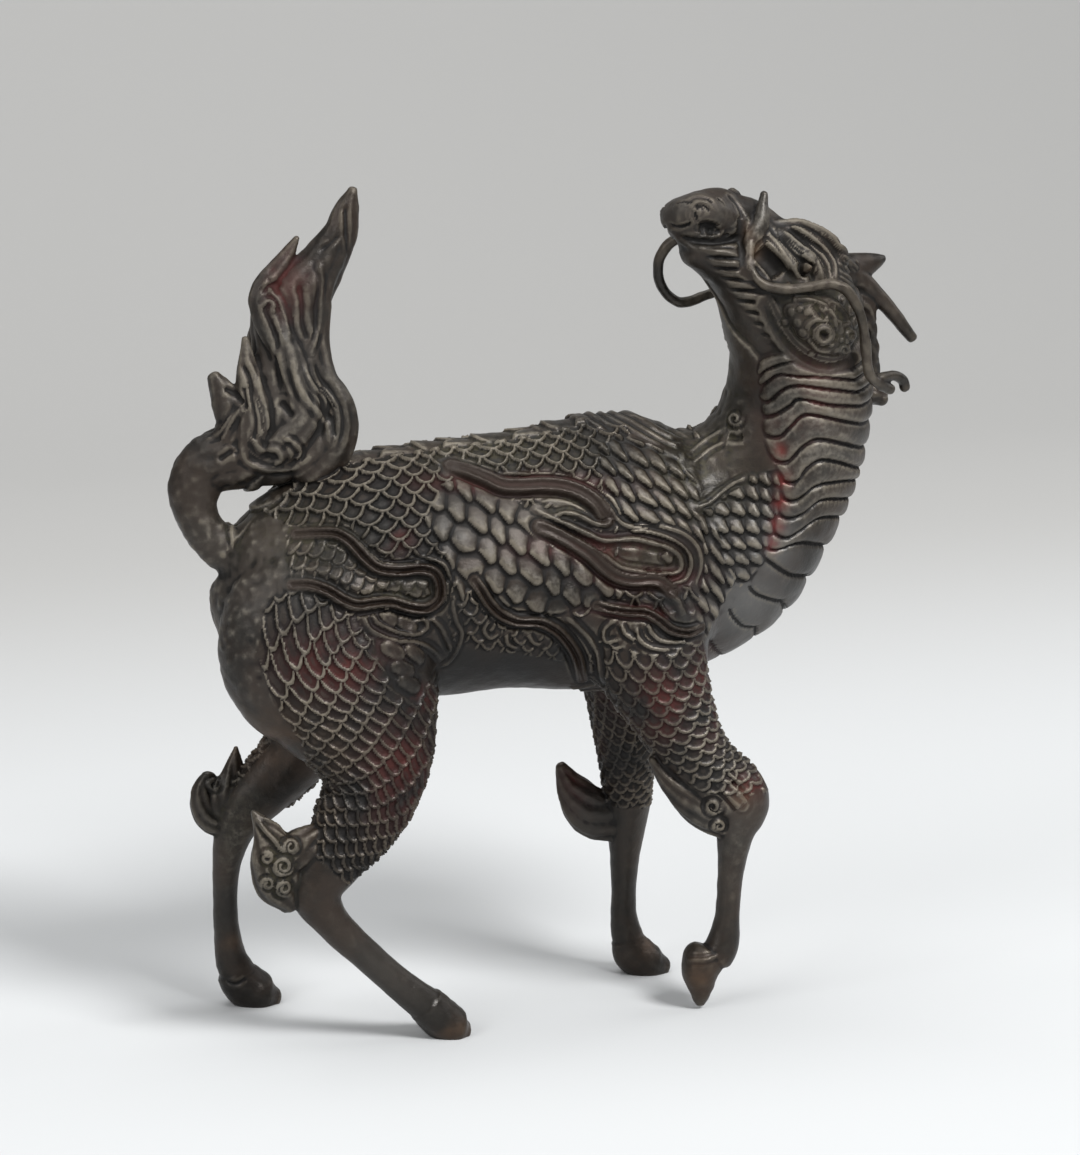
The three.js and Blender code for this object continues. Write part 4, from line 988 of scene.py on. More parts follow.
def throat_plates(tree, trunk):
    """Height of the plates and how much of each place they take."""
    bend = bend_of(trunk)
    border = Chart(TRUNK, seat(tree, PLATE_BORDER))
    order = np.argsort(border.share)
    near_edge = np.interp(trunk.share, border.share[order], bend_of(border)[order])
    inside = np.minimum(bend - near_edge, PLATE_FAR_EDGE - bend)
    under = ramp(trunk.share, 0.36, 0.42)
    close = (trunk.far > 0.6) & ((trunk.far < 1.2) | (trunk.share > 0.6))
    cover = ramp(inside, -0.05, 0.05) * under * ramp(-trunk.share, -0.955, -0.93) * close
    use = np.flatnonzero(cover > 0)
    shares, share, inside = plate_grooves(tree, bend[use]), trunk.share[use], inside[use]
    k = np.clip((shares > share).sum(0), 1, len(shares) - 1)
    top, low = shares[k - 1, np.arange(len(use))], shares[k, np.arange(len(use))]
    f = np.clip((top - share) / np.maximum(top - low, 1e-4), 0, 1)
    relief = np.interp(share, [SMOOTH_PLATES_FROM - 0.03, SMOOTH_PLATES_FROM + 0.03, 0.88, 0.95],
                       [0.35, 1.25, 1.3, 0.8])
    lobe = np.clip(np.abs(2 * f - 1) ** 2.6 + np.clip(1 - inside / 0.16, 0, 1) ** 2, 0, 1)
    roll = (1 - lobe) * (0.6 + 0.4 * f)
    height = np.zeros(len(cover))
    grooves = (0.25 + 0.3 * relief) * (bell(f, 0.06) + bell(1 - f, 0.06))
    height[use] = relief * (roll - 0.08) - grooves * ramp(inside, 0, 0.1)
    return height * cover, cover


# Patches of scales: chart, outline in pixels, direction of the free ends where the chart is the picture, and
# the scales' sizes in millimetres: pitch in the row, pitch of the rows, then plumpness, rim and reach of
# scales, or half width and length of drops.
PATCHES = [
    ("trunk", [(276, 478), (300, 430), (460, 380), (600, 360), (660, 400), (640, 440), (618, 470),
        (622, 520), (700, 600), (690, 612), (600, 606), (572, 618), (541, 614), (502, 606), (478, 570),
        (462, 610), (445, 606), (440, 566), (386, 562), (346, 530), (296, 530), (276, 520)], None, "scales",
        (5.8, 2.7, 0.0, 0.5, 3.4)),
    ("pixel", [(446, 488), (470, 480), (502, 492), (534, 512), (560, 540), (598, 566), (622, 590),
        (612, 604), (590, 604), (572, 612), (541, 612), (506, 608), (486, 590), (474, 570), (460, 600),
        (446, 560), (425, 520)], (0.25, 0.97), "drops", (9.2, 4.0, 3.3, 11.6)),
    ("pixel", [(606, 452), (628, 440), (664, 452), (700, 470), (700, 505), (716, 540), (700, 560),
        (690, 545), (664, 527), (634, 525), (618, 515), (604, 490)], (0.63, 0.78), "drops",
        (5.6, 4.2, 1.8, 11.0)),
    ("pixel", [(697, 508), (720, 500), (736, 520), (740, 570), (726, 600), (706, 634), (690, 612),
        (702, 580), (704, 550)], (0.45, 0.89), "drops", (5.0, 4.4, 1.5, 11.0)),
    ("pixel", [(706, 506), (742, 480), (778, 470), (784, 520), (770, 560), (742, 588), (722, 560),
        (716, 525)], (0.74, 0.67), "drops", (5.6, 3.2, 2.0, 8.4)),
    ("trunk", [(292, 540), (336, 538), (360, 566), (386, 578), (428, 577), (432, 600), (392, 598),
        (357, 602), (328, 588), (292, 582)], None, "scales", (4.4, 2.4, 0.6, 0.45, 2.6)),
    ("trunk", [(446, 612), (470, 596), (484, 606), (504, 624), (540, 636), (560, 646), (572, 664),
        (530, 656), (480, 650), (452, 640)], None, "scales", (4.6, 2.6, 0.3, 0.45, 2.9)),
    ("rightHind", [(268, 600), (293, 588), (328, 596), (357, 609), (362, 616), (372, 640), (392, 660),
        (440, 690), (430, 790), (400, 840), (345, 880), (312, 852), (320, 790), (300, 740), (272, 700),
        (256, 650)], None, "scales", (5.2, 3.5, 0.05, 0.45, 4.0)),
    ("leftHind", [(286, 620), (330, 612), (395, 634), (430, 665), (474, 715), (430, 800), (340, 850),
        (262, 820)], None, "scales", (5.2, 3.5, 0.05, 0.45, 4.0)),
    ("rightFore", [(596, 640), (640, 652), (700, 640), (720, 700), (768, 790), (736, 790), (700, 790),
        (640, 745), (585, 700)], None, "scales", (5.2, 3.5, 0.3, 0.5, 3.4)),
    ("leftFore", [(596, 660), (706, 660), (716, 838), (630, 838), (618, 740)], None, "scales",
        (4.4, 3.0, 0.25, 0.45, 3.4)),
]
# How scales shrink down a limb: share of the way, and share of their size.
TAPER = ([0.0, 0.12, 0.3, 0.5, 0.7], [1.0, 0.97, 0.82, 0.7, 0.6])
REACH_POWER = 2.8
# How much rows slant round a limb, and how high scales stand on it, lower on the far foreleg.
SLANT = {"rightHind": 0.6, "leftHind": -0.6, "rightFore": 0.3, "leftFore": -0.3}
LIMB_RELIEF = 0.85
FAR_LIMB_RELIEF = 0.8 * LIMB_RELIEF
# How far round a hind leg scales reach from its outer side.
HIND_OUTER = math.radians(112)
LEG_GAP = 2
NECK_SCALES = (5.6, 3.4, 0.3, 0.5, 3.6)
RIDGE_PITCH = 8.9
RIDGE_BREADTH = 5.4
# Fields of fine hair: outline, direction of the strands in the picture, pitch and height in millimetres.
HAIR = [
    ([(596, 408), (644, 408), (664, 420), (704, 420), (716, 432), (694, 456), (662, 446), (636, 434),
        (606, 438)], (0.88, 0.47), 1.75, 0.8),
    ([(716, 345), (736, 350), (743, 380), (734, 404), (712, 426), (700, 430), (716, 405)], (-0.25, 0.97),
        1.3, 0.5),
]
HEAD_HAIR = [
    ([(786, 217), (836, 222), (862, 262), (862, 300), (838, 288), (820, 262), (800, 240), (778, 224)],
        (0.72, 0.69), 1.15, 0.45),
    ([(852, 285), (884, 290), (884, 400), (866, 400), (860, 330)], (0.12, 0.99), 1.3, 0.5),
]
# Smooth panels without scales, rough places of the body and of the head, and the ribbed side of the throat.
PANELS = [
    [(540, 502), (560, 494), (584, 504), (602, 520), (580, 514), (560, 510)],
    [(612, 546), (640, 544), (668, 552), (672, 566), (640, 567), (616, 560)],
    [(688, 448), (712, 446), (718, 476), (700, 486), (686, 466)],
]
ROUGH = [
    [(160, 430), (300, 470), (300, 600), (250, 720), (180, 640), (150, 500)],
    [(706, 350), (742, 352), (756, 400), (756, 440), (700, 500), (684, 440), (704, 410)],
    [(596, 604), (640, 612), (690, 640), (650, 655), (600, 650)],
]
HEAD_ROUGH = [
    [(664, 198), (750, 188), (752, 236), (668, 236)],
    [(784, 300), (850, 300), (858, 352), (820, 360), (788, 342)],
    [(790, 218), (842, 228), (862, 262), (840, 280), (810, 240)],
]
RIBS = [
    (698, 241), (728, 240), (746, 258), (758, 286), (770, 304), (786, 338), (768, 346), (752, 324),
    (736, 304), (722, 282), (707, 262),
]
RIB_PITCH = 10.9
RIB_SLOPE = 0.04
RIB_START = (700, 246)
RIB_HEIGHT = 0.6
RIB_GROOVE = 1.3
# Heights of the uneven cast surface, of rough places and of what lies off the trunk, in millimetres.
UNEVEN = 0.2
ROUGH_HEIGHT = 0.4
GRAIN = 0.25


class Ground:
    """The skin's points, where each lies on the trunk, and where in the picture, as body and as head."""

    def __init__(self, points):
        self.points = points
        self.pix = flat_pixels(points)
        self.seen = head_pixels(points)
        self.trunk = Chart(TRUNK, points)
        self.round_back = self.trunk.arc(math.pi / 2)
        self.on_trunk = (self.trunk.far > 0.7) & (self.trunk.far < 1.3)
        self.on_head = self.trunk.share > 0.8


def stray(points, amount, cell, salt):
    """How far rows of scales wander, in scales."""
    return amount * (waves(points, cell, salt) - 0.5)


def limb_scales(name, sizes, points):
    """Height of the scales on a limb, and where they may lie."""
    outer = math.pi if name.startswith("right") else 0.0
    limb = Chart(LIMBS[name], points)
    wide, row, plump, rim, reach = sizes
    count, factor = counted(limb)
    wide = wide * (0.5 + 0.5 * factor)
    across, off = limb.arc(outer), stray(points, 0.3, 7.0, 12)
    made = scales(across / wide + off, (count + across * SLANT[name]) / row + off, wide, row * factor, plump,
                  rim, reach * factor ** REACH_POWER)
    fit = (limb.far > 0.6) & (limb.far < 1.6)
    if name.endswith("Hind"):
        fit &= np.abs(limb.turn(outer)) < HIND_OUTER
    return made * (FAR_LIMB_RELIEF if name == "leftFore" else LIMB_RELIEF), fit


def trunk_scales(ground, direction, kind, sizes, use):
    """Height of a patch on the trunk, along its rows or a direction in the picture, and where it may lie."""
    if direction is None:
        over, down = ground.trunk.along[use], np.abs(ground.round_back[use])
    else:
        x, y = direction
        over, down = ((ground.pix[use] @ np.array(way)) * PIXEL for way in ((y, -x), (x, y)))
    off = stray(ground.points[use], 0.35, 8.0, 11)
    cover = scales if kind == "scales" else drops
    made = cover(over / sizes[0] + off, down / sizes[1] + off, *sizes)
    return made, ground.on_trunk[use] & (np.abs(ground.round_back[use]) > RIDGE_BREADTH * 0.8)


def lay_patches(ground, body, plate_cover):
    """Lays all patches of scales on the body, and returns how much of each place they cover."""
    covered = np.zeros(len(body))
    for chart, polygon, direction, kind, sizes in PATCHES:
        where = ramp(inside_by(ground.pix, polygon), -2, 2) * (1 - plate_cover)
        use = np.flatnonzero(where > 0)
        if chart in LIMBS:
            y = ground.points[use, 1]
            use = use[(y < -LEG_GAP) if chart.startswith("right") else (y > LEG_GAP)]
            made, fit = limb_scales(chart, sizes, ground.points[use])
        else:
            made, fit = trunk_scales(ground, direction, kind, sizes, use)
        use, made = use[fit], made[fit]
        part = where[use]
        body[use] = body[use] * (1 - part) + made * part
        covered[use] = np.maximum(covered[use], part)
    return covered


def lay_neck(ground, body):
    """Scales on the side of the neck away from the camera, from the plates to the nape."""
    trunk = ground.trunk
    beyond = bend_of(trunk) - PLATE_FAR_EDGE
    part = (ramp(beyond, 0.02, 0.12) * ramp(-beyond, -1.5, -1.3) * ramp(trunk.share, 0.5, 0.54)
            * ramp(-trunk.share, -0.88, -0.84) * ground.on_trunk * (ground.points[:, 1] > -6))
    use = np.flatnonzero(part > 0)
    wide, row = NECK_SCALES[:2]
    made = scales(ground.round_back[use] / wide, -trunk.along[use] / row, *NECK_SCALES)
    body[use] = body[use] * (1 - part[use]) + made * part[use]


def lay_shingles(ground, body):
    """Shingles along the back, their free ends towards the tail."""
    trunk, across = ground.trunk, ground.round_back
    spine = (np.abs(across) < RIDGE_BREADTH) & (trunk.share > 0.03) & (trunk.share < 0.56) & ground.on_trunk
    use = np.flatnonzero(spine)
    wide = 2.1 * RIDGE_BREADTH
    shingle = scales(across[use] / wide, -trunk.along[use] / RIDGE_PITCH, wide, RIDGE_PITCH, 0.9, 0.6, 5.0)
    body[use] = 1.1 * shingle * ramp(-np.abs(across[use]), -RIDGE_BREADTH, -0.8 * RIDGE_BREADTH)


def with_hair(ground, body, plate_cover):
    """The body with its fields of fine hair."""
    bend = 1.2 * waves(ground.points, 9.0)
    on_neck = ground.on_trunk * (1 - plate_cover)
    for fields, where, shown in ((HAIR, on_neck, ground.pix),
                                 (HEAD_HAIR, ground.trunk.share > 0.75, ground.seen)):
        for outline, direction, pitch, tall in fields:
            hair = ramp(inside_by(shown, outline), -2, 4) * where
            over = (shown @ np.array((direction[1], -direction[0]))) * PIXEL + bend
            body = body * (1 - hair) + tall * hair * (np.abs(np.sin(math.pi * over / pitch)) - 0.45)
    return body


def most_of(pix, polygons, low, high, where):
    """The most that any of the polygons covers of each point, fading over its border."""
    return np.max([ramp(inside_by(pix, polygon), low, high) * where for polygon in polygons], axis=0)


def with_ribs(ground, body):
    """The body with the ribs on the sides of the throat."""
    ribbed = ramp(inside_by(ground.seen, RIBS), -2, 12) * ground.on_head
    rib = (ground.seen[:, 1] - RIB_SLOPE * (ground.seen[:, 0] - RIB_START[0]) - RIB_START[1]) / RIB_PITCH
    rib = np.abs(rib - np.round(rib)) * 2
    side = (ground.points - HEAD_AT) @ HEAD_L
    ribbed = ribbed * np.where(side < 0, ramp(-side, 8, 11), 1)
    return body * (1 - ribbed) + ribbed * (RIB_HEIGHT * dome(1 - rib, 1.15) - RIB_GROOVE * bell(rib, 0.36))


def carve(points, tree, on_body):
    """How far each point of the skin moves out, in millimetres, and where smooth ribbons lie."""
    ground = Ground(points)
    plates, plate_cover = throat_plates(tree, ground.trunk)
    body = np.zeros(len(points))
    covered = lay_patches(ground, body, plate_cover)
    lay_neck(ground, body)
    lay_shingles(ground, body)
    body = with_hair(ground, body, plate_cover)
    fine = most_of(ground.pix, PANELS, -1, 2, ground.on_trunk)
    rough = np.maximum(fine, most_of(ground.pix, ROUGH, -10, 12, 1 - covered))
    rough = np.maximum(rough, most_of(ground.seen, HEAD_ROUGH, -4, 8, ground.on_head))
    body = with_ribs(ground, body * (1 - fine))
    grain = waves(points, 1.8, 3) + waves(points, 3.4, 4) - 1
    strokes = Strokes(points)
    strokes.draw(tree, SCROLLS, over_body)
    strokes.draw(tree, HEAD_STROKES, over_head)
    for half, tall, spots in HEAD_BEADS:
        strokes.draw(tree, [("bead", half, tall, [spot]) for spot in spots], over_head)
    lift = body + plates + ROUGH_HEIGHT * grain * rough + UNEVEN * waves(points, 2.6)
    lift = (lift + UNEVEN * waves(points, 6.0, 9) - UNEVEN) * strokes.clear + strokes.height
    return lift * on_body, strokes.satin * on_body


def carved(points, quads, tree):
    """The skin with its carving raised and cut, and where smooth ribbons lie."""
    pairs = edges_of(quads)
    soft = averaged(normals_of(points, quads), pairs, 5)
    soft /= np.maximum(np.linalg.norm(soft, axis=1), 1e-9)[:, None]
    gap = np.array([tree.find_nearest(p)[3] for p in points.tolist()])
    on_body = ramp(-gap, -0.9, -0.45)
    lift, satin = carve(points, tree, on_body)
    lift += GRAIN * (1 - on_body) * (waves(points, 2.0, 3) + waves(points, 3.7, 4) - 1)
    whole = BVHTree.FromPolygons(points.tolist(), quads.tolist())
    strokes = Strokes(points)
    strokes.draw(whole, TAIL_STROKES, over_body)
    strokes.height *= TAIL_RELIEF
    strokes.draw(whole, LEG_STROKES)
    lift = lift + strokes.height
    return points + soft * lift[:, None], satin


# Patches of tone in pixels: middle, reach across and down. Some of them paint light and shade rather than the
# bronze's own colour.
TONES = {
    "red": [(330, 660, 46, 30), (412, 696, 20, 12), (395, 770, 34, 46), (396, 530, 18, 18),
        (590, 548, 60, 12), (640, 577, 50, 10), (520, 486, 80, 9), (705, 690, 24, 40), (660, 700, 25, 34),
        (745, 785, 22, 14), (620, 800, 20, 36), (640, 610, 44, 7), (800, 400, 34, 40), (300, 290, 20, 30)],
    "lacquer": [(779, 452, 6, 9), (783, 480, 7, 9), (781, 503, 7, 9), (778, 526, 7, 10), (774, 545, 6, 9)],
    # Dust on the high points; on the flank drops and the neck plates also a painted highlight.
    "dust_and_highlight": [(390, 500, 90, 45), (500, 452, 90, 26), (640, 500, 60, 45), (565, 505, 30, 10),
        (732, 470, 24, 35), (790, 240, 50, 30), (240, 610, 44, 60), (640, 640, 50, 20), (270, 860, 25, 40),
        (370, 600, 40, 12), (520, 560, 70, 50), (740, 530, 40, 40), (500, 540, 50, 40), (735, 380, 30, 70),
        (818, 430, 44, 80), (740, 606, 46, 40), (725, 800, 30, 60), (700, 720, 30, 60), (250, 560, 50, 60),
        (300, 400, 50, 70), (300, 680, 60, 70)],
    "dirt": [(820, 320, 45, 45), (730, 450, 30, 50), (700, 470, 40, 45), (640, 556, 40, 14),
        (566, 504, 28, 10), (500, 455, 90, 20), (290, 540, 60, 30), (270, 860, 25, 40), (400, 590, 34, 10),
        (735, 380, 24, 60)],
    # Wear, and a painted glint on the eye bead.
    "wear_and_glint": [(285, 755, 44, 40), (757, 250, 8, 10), (733, 794, 12, 12), (455, 1025, 24, 10),
        (697, 975, 16, 16), (750, 232, 5, 12), (272, 985, 16, 8), (806, 268, 4, 4)],
    # Painted shade under the belly and by the hind leg.
    "painted_shade": [(510, 672, 90, 30), (290, 690, 20, 60), (560, 655, 30, 20)],
    # Painted reflection: a cool grey sheen on the lower chest plates.
    "painted_reflection": [(748, 604, 46, 42), (774, 548, 26, 38)],
    # A paler, duller tone: partly dust, partly painted light on the neck, rump, tail and legs, and a painted
    # reflection on the chest.
    "pale_dust_and_light": [(726, 390, 30, 70), (250, 560, 50, 70), (300, 400, 60, 80), (510, 520, 60, 40),
        (820, 420, 40, 60), (300, 690, 50, 60), (725, 800, 30, 60), (690, 210, 40, 16), (215, 900, 30, 80),
        (390, 960, 60, 50), (700, 880, 30, 60), (620, 880, 30, 60)],
    "matte": [(290, 370, 60, 130), (210, 450, 50, 60), (250, 570, 60, 60), (740, 400, 30, 60),
        (800, 320, 50, 50), (690, 210, 40, 25), (270, 860, 30, 45), (820, 245, 45, 35),
        (400, 500, 120, 50)],
}
# Heights in millimetres that count as one for the fine edges and for what stands out broadly.
EDGE_HEIGHT = 0.05
STAND_HEIGHT = 0.3


def tone_of(pix, spots):
    total = np.zeros(len(pix))
    for x, y, wide, tall in spots:
        total = np.maximum(total, np.exp(-((pix[:, 0] - x) / wide) ** 2 - ((pix[:, 1] - y) / tall) ** 2))
    return total


def shading(points, quads):
    """How far each point stands out of its surroundings, finely and broadly, and its patches of tone, painted
    light and shade among them.
    """
    pairs, normals = edges_of(quads), normals_of(points, quads)
    fine = averaged(points, pairs, 3)
    broad = averaged(fine, pairs, 14)
    values = {"edge": ((points - fine) * normals).sum(1) / EDGE_HEIGHT,
              "stand": ((points - broad) * normals).sum(1) / STAND_HEIGHT}
    pix = flat_pixels(points)
    values.update({name: tone_of(pix, spots) for name, spots in TONES.items()})
    values.update(zip(NORMAL_PARTS, normals.T))
    return values


class Nodes:
    """A short way to write a material's nodes."""

    def __init__(self, name):
        self.material = bpy.data.materials.new(name)
        self.material.use_nodes = True
        self.tree = self.material.node_tree
        self.shader = self.tree.nodes["Principled BSDF"]

    def put(self, socket, value):
        if isinstance(value, bpy.types.NodeSocket):
            self.tree.links.new(value, socket)
        else:
            socket.default_value = value

    def add(self, kind, inputs=(), out=0, **settings):
        node = self.tree.nodes.new("ShaderNode" + kind)
        for key, value in settings.items():
            setattr(node, key, value)
        for key, value in dict(inputs).items():
            self.put(node.inputs[key], value)
        return node.outputs[out]

    def math(self, operation, a, b, clamp=False):
        return self.add("Math", {0: a, 1: b}, operation=operation, use_clamp=clamp)

    def plus(self, a, b, clamp=False):
        return self.math("ADD", a, b, clamp)

    def times(self, a, b, clamp=False):
        return self.math("MULTIPLY", a, b, clamp)

    def scaled(self, a, factor, base):
        """a times a factor, plus a base."""
        return self.plus(self.times(a, factor), base)

    def value(self, name):
        return self.add("Attribute", out="Fac", attribute_name=name)

    def noise(self, scale, detail=4.0):
        place = self.add("TexCoord", out="Object")
        return self.add("TexNoise", {"Vector": place, "Scale": scale, "Detail": detail, "Roughness": 0.6})

    def ramp(self, value, low, high):
        return self.add("MapRange", {"Value": value, "From Min": low, "From Max": high},
                        interpolation_type="SMOOTHSTEP")

    def mix(self, share, a, b):
        node = self.tree.nodes.new("ShaderNodeMix")
        node.data_type = "RGBA"
        for socket, value in zip([node.inputs[0], node.inputs[6], node.inputs[7]], (share, a, b)):
            self.put(socket, value)
        return node.outputs[2]


# Colours of the patina. Some paint light and shade: a near-black painted shade for the hollows and the belly,
# a grey painted reflection, a lighter tone that is partly painted light, dust and rim colours that are partly
# painted highlight, and a colour of wear that also paints a glint.
PATINA_DARK = (0.0095, 0.0075, 0.0056, 1)
PATINA_LIGHT = (0.025, 0.0160, 0.0105, 1)
PALE_DUST_AND_LIGHT = (0.062, 0.054, 0.046, 1)
PAINTED_REFLECTION = (0.115, 0.115, 0.113, 1)
HOLLOW_SHADE = (0.0030, 0.0023, 0.0020, 1)
OXBLOOD = (0.066, 0.0085, 0.0058, 1)
LACQUER = (0.15, 0.010, 0.007, 1)
DIRT = (0.052, 0.044, 0.022, 1)
DUST_AND_HIGHLIGHT = (0.185, 0.165, 0.135, 1)
RIM_WEAR_AND_HIGHLIGHT = (0.165, 0.142, 0.106, 1)
SATIN = (0.0165, 0.0080, 0.0038, 1)
WEAR_AND_GLINT = (0.105, 0.058, 0.030, 1)


def bronze():
    """Old cast bronze: a brown-black patina with painted shade in the hollows, where it is partly the
    patina's own colour, and under the belly;
    oxblood and bright lacquer, dirt, dust and light rims on the high points, partly painted highlight; a
    lighter, duller tone, partly painted light; a painted reflection on the lower chest; smoother brown
    ribbons; and patches of wear with a painted glint on the eye."""
    n = Nodes("patinated_bronze")
    clouds = n.noise(70.0)
    specks = n.noise(700.0, 3.0)
    stand = n.plus(n.times(n.value("edge"), 0.5), n.value("stand"))
    hollow = n.ramp(n.times(stand, -1.0), 0.0, 1.1)
    raised = n.ramp(stand, 0.0, 1.5)
    cloudy = n.ramp(clouds, 0.36, 0.64)
    colour = n.mix(cloudy, PATINA_DARK, PATINA_LIGHT)
    # A paler, duller tone, partly painted light.
    colour = n.mix(n.times(n.value("pale_dust_and_light"), 0.5), colour, PALE_DUST_AND_LIGHT)
    # Painted reflection on the lower chest plates.
    colour = n.mix(n.times(n.value("painted_reflection"), 0.7), colour, PAINTED_REFLECTION)
    # Painted shade: the hollows darkened almost to black, partly the patina's own colour there, and the belly
    # darkened too.
    colour = n.mix(n.math("MAXIMUM", n.times(hollow, 0.85), n.times(n.value("painted_shade"), 0.95)), colour, HOLLOW_SHADE)
    red = n.times(n.value("red"), n.scaled(hollow, 0.45, 0.35))
    colour = n.mix(n.times(red, n.ramp(clouds, 0.34, 0.56)), colour, OXBLOOD)
    colour = n.mix(n.times(n.value("lacquer"), 0.6), colour, LACQUER)
    dirt = n.times(n.value("dirt"), n.scaled(hollow, 0.4, 0.25))
    colour = n.mix(n.times(dirt, n.ramp(specks, 0.3, 0.65)), colour, DIRT)
    # Dust on the high points, in places also a painted highlight.
    dust_and_highlight = n.times(n.scaled(n.value("dust_and_highlight"), 0.50, 0.04),
                   n.times(raised, n.plus(n.ramp(specks, 0.35, 0.7), 0.25)), clamp=True)
    colour = n.mix(dust_and_highlight, colour, DUST_AND_HIGHLIGHT)
    # Light rims on the raised edges: wear and dust, partly a painted highlight.
    rim = n.times(n.ramp(n.value("edge"), 0.4, 2.2),
                  n.plus(n.times(n.value("dust_and_highlight"), 0.42), n.times(cloudy, 0.3)), clamp=True)
    colour = n.mix(rim, colour, RIM_WEAR_AND_HIGHLIGHT)
    colour = n.mix(n.times(n.value("satin"), 0.85), colour, SATIN)
    # Worn patches, with a painted glint on the eye.
    wear_and_glint = n.times(n.value("wear_and_glint"), n.ramp(clouds, 0.3, 0.66))
    colour = n.mix(n.times(wear_and_glint, 0.55), colour, WEAR_AND_GLINT)
    n.put(n.shader.inputs["Base Color"], colour)
    rough = n.scaled(cloudy, 0.08, 0.29)
    for value, share in ((specks, 0.12), (hollow, 0.22), (n.value("matte"), 0.16)):
        rough = n.plus(rough, n.times(value, share))
    n.put(n.shader.inputs["Roughness"], n.plus(rough, n.times(dust_and_highlight, 0.3), clamp=True))
    n.put(n.shader.inputs["Metallic"], n.math("SUBTRACT", 0.45, n.times(dust_and_highlight, 0.45), clamp=True))
    fine = n.plus(specks, n.times(n.noise(2600.0, 2.0), 0.5))
    n.put(n.shader.inputs["Normal"], n.add("Bump", {"Height": fine, "Strength": 0.5, "Distance": 0.0002}))
    return n.material


# Planes that part the skin into pieces: a point in millimetres and the direction of the upper side.
CUTS = {
    "tail": ((-79.1, 0, 111.2), (-0.789, 0, 0.614)),
    "loin": ((-20, 0, 0), (1, 0, 0)),
    "shoulder": ((19, 0, 0), (1, 0, 0)),
    "legs": ((-10, 0, 0), (1, 0, 0)),
    "knees": ((0, 0, 75), (0, 0, 1)),
    "throat": ((0, 0, 160), (0, 0, 1)),
}
# Each piece's planes and the side it lies on. The first takes the faces, so every cut runs all the way round.
PIECES = {
    "qilin_tail": (("tail", 1),),
    "qilin_rump": (("loin", -1), ("tail", -1), ("knees", 1)),
    "qilin_flank": (("loin", 1), ("shoulder", -1), ("knees", 1)),
    "qilin_chest": (("shoulder", 1), ("throat", -1), ("knees", 1)),
    "qilin_head": (("throat", 1), ("shoulder", 1)),
    "qilin_hind_legs": (("knees", -1), ("legs", -1)),
    "qilin_forelegs": (("knees", -1), ("legs", 1)),
}
NORMAL_PARTS = ("nx", "ny", "nz")


def cut_piece(name, cuts, points, quads, values):
    """The part of the skin between its planes, each cut closed by a flat face, as a mesh in metres."""
    first, side = cuts[0]
    at, out = (np.array(v, float) for v in CUTS[first])
    keep = (points - at) @ out * side > 0
    faces = quads[keep[quads].any(axis=1)]
    used, local = np.unique(faces, return_inverse=True)
    mesh = mesh_of(name, points[used] * MM, local.reshape(-1, 4))
    mesh.polygons.foreach_set("use_smooth", np.ones(len(faces), bool))
    for key, value in values.items():
        mesh.attributes.new(key, "FLOAT", "POINT").data.foreach_set("value", value[used].astype(np.float32))
    shape = bmesh.new()
    shape.from_mesh(mesh)
    for cut, side in cuts:
        at, out = Vector(CUTS[cut][0]) * MM, Vector(CUTS[cut][1]) * side
        whole = shape.verts[:] + shape.edges[:] + shape.faces[:]
        made = bmesh.ops.bisect_plane(shape, geom=whole, dist=1e-8, plane_co=at, plane_no=out,
                                      clear_inner=True)
        rim = [e for e in made["geom_cut"] if isinstance(e, bmesh.types.BMEdge) and e.is_boundary]
        filled = bmesh.ops.triangle_fill(shape, edges=rim, normal=-out)["geom"] if rim else []
        for face in filled:
            if isinstance(face, bmesh.types.BMFace):
                face.smooth = False
                face.normal_update()
                if face.normal.dot(out) > 0:
                    face.normal_flip()
    shape.to_mesh(mesh)
    shape.free()
    return mesh


def shade_on(mesh):
    """Smooth shading that runs on over the cuts, as on the whole skin, and flat cuts."""
    normals = np.empty((3, len(mesh.vertices)), np.float32)
    for part, row in zip(NORMAL_PARTS, normals):
        mesh.attributes[part].data.foreach_get("value", row)
    normals = normals.T / np.maximum(np.linalg.norm(normals.T, axis=1), 1e-9)[:, None]
    loops = np.empty(len(mesh.loops), np.int32)
    mesh.loops.foreach_get("vertex_index", loops)
    corner = normals[loops]
    smooth = np.empty(len(mesh.polygons), bool)
    mesh.polygons.foreach_get("use_smooth", smooth)
    for face in np.flatnonzero(~smooth).tolist():
        cap = mesh.polygons[face]
        corner[cap.loop_start:cap.loop_start + cap.loop_total] = cap.normal
    mesh.normals_split_custom_set(corner.tolist())
    for part in NORMAL_PARTS:
        mesh.attributes.remove(mesh.attributes[part])


def dress():
    """Builds the carved skin and hangs its pieces on the casting's body."""
    points, quads, tree = build_skin()
    points, satin = carved(points, quads, tree)
    points[:, 2] = np.maximum(points[:, 2], 0)
    values = shading(points, quads)
    values["satin"] = satin
    material = bronze()
    for name, cuts in PIECES.items():
        mesh = cut_piece(name, cuts, points, quads, values)
        shade_on(mesh)
        obj = link(name, mesh)
        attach(obj, "root")
        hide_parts("qilin_figure")
        mesh.materials.append(material)


# The studio, in metres: a floor that sweeps up behind into a backdrop, and where its colour fades to the
# darker backdrop colour, which is painted shade.
FLOOR_FRONT = -2.5
SWEEP_START = 0.9
SWEEP_RADIUS = 1.2
BACKDROP_TOP = 3.4
FLOOR_HALF_WIDTH = 3.5
BACKDROP_SHADE_FADE = (0.2, 0.7)
FLOOR_COLOUR = (0.56, 0.57, 0.575, 1)
BACKDROP_PAINTED_SHADE = (0.45, 0.447, 0.437, 1)
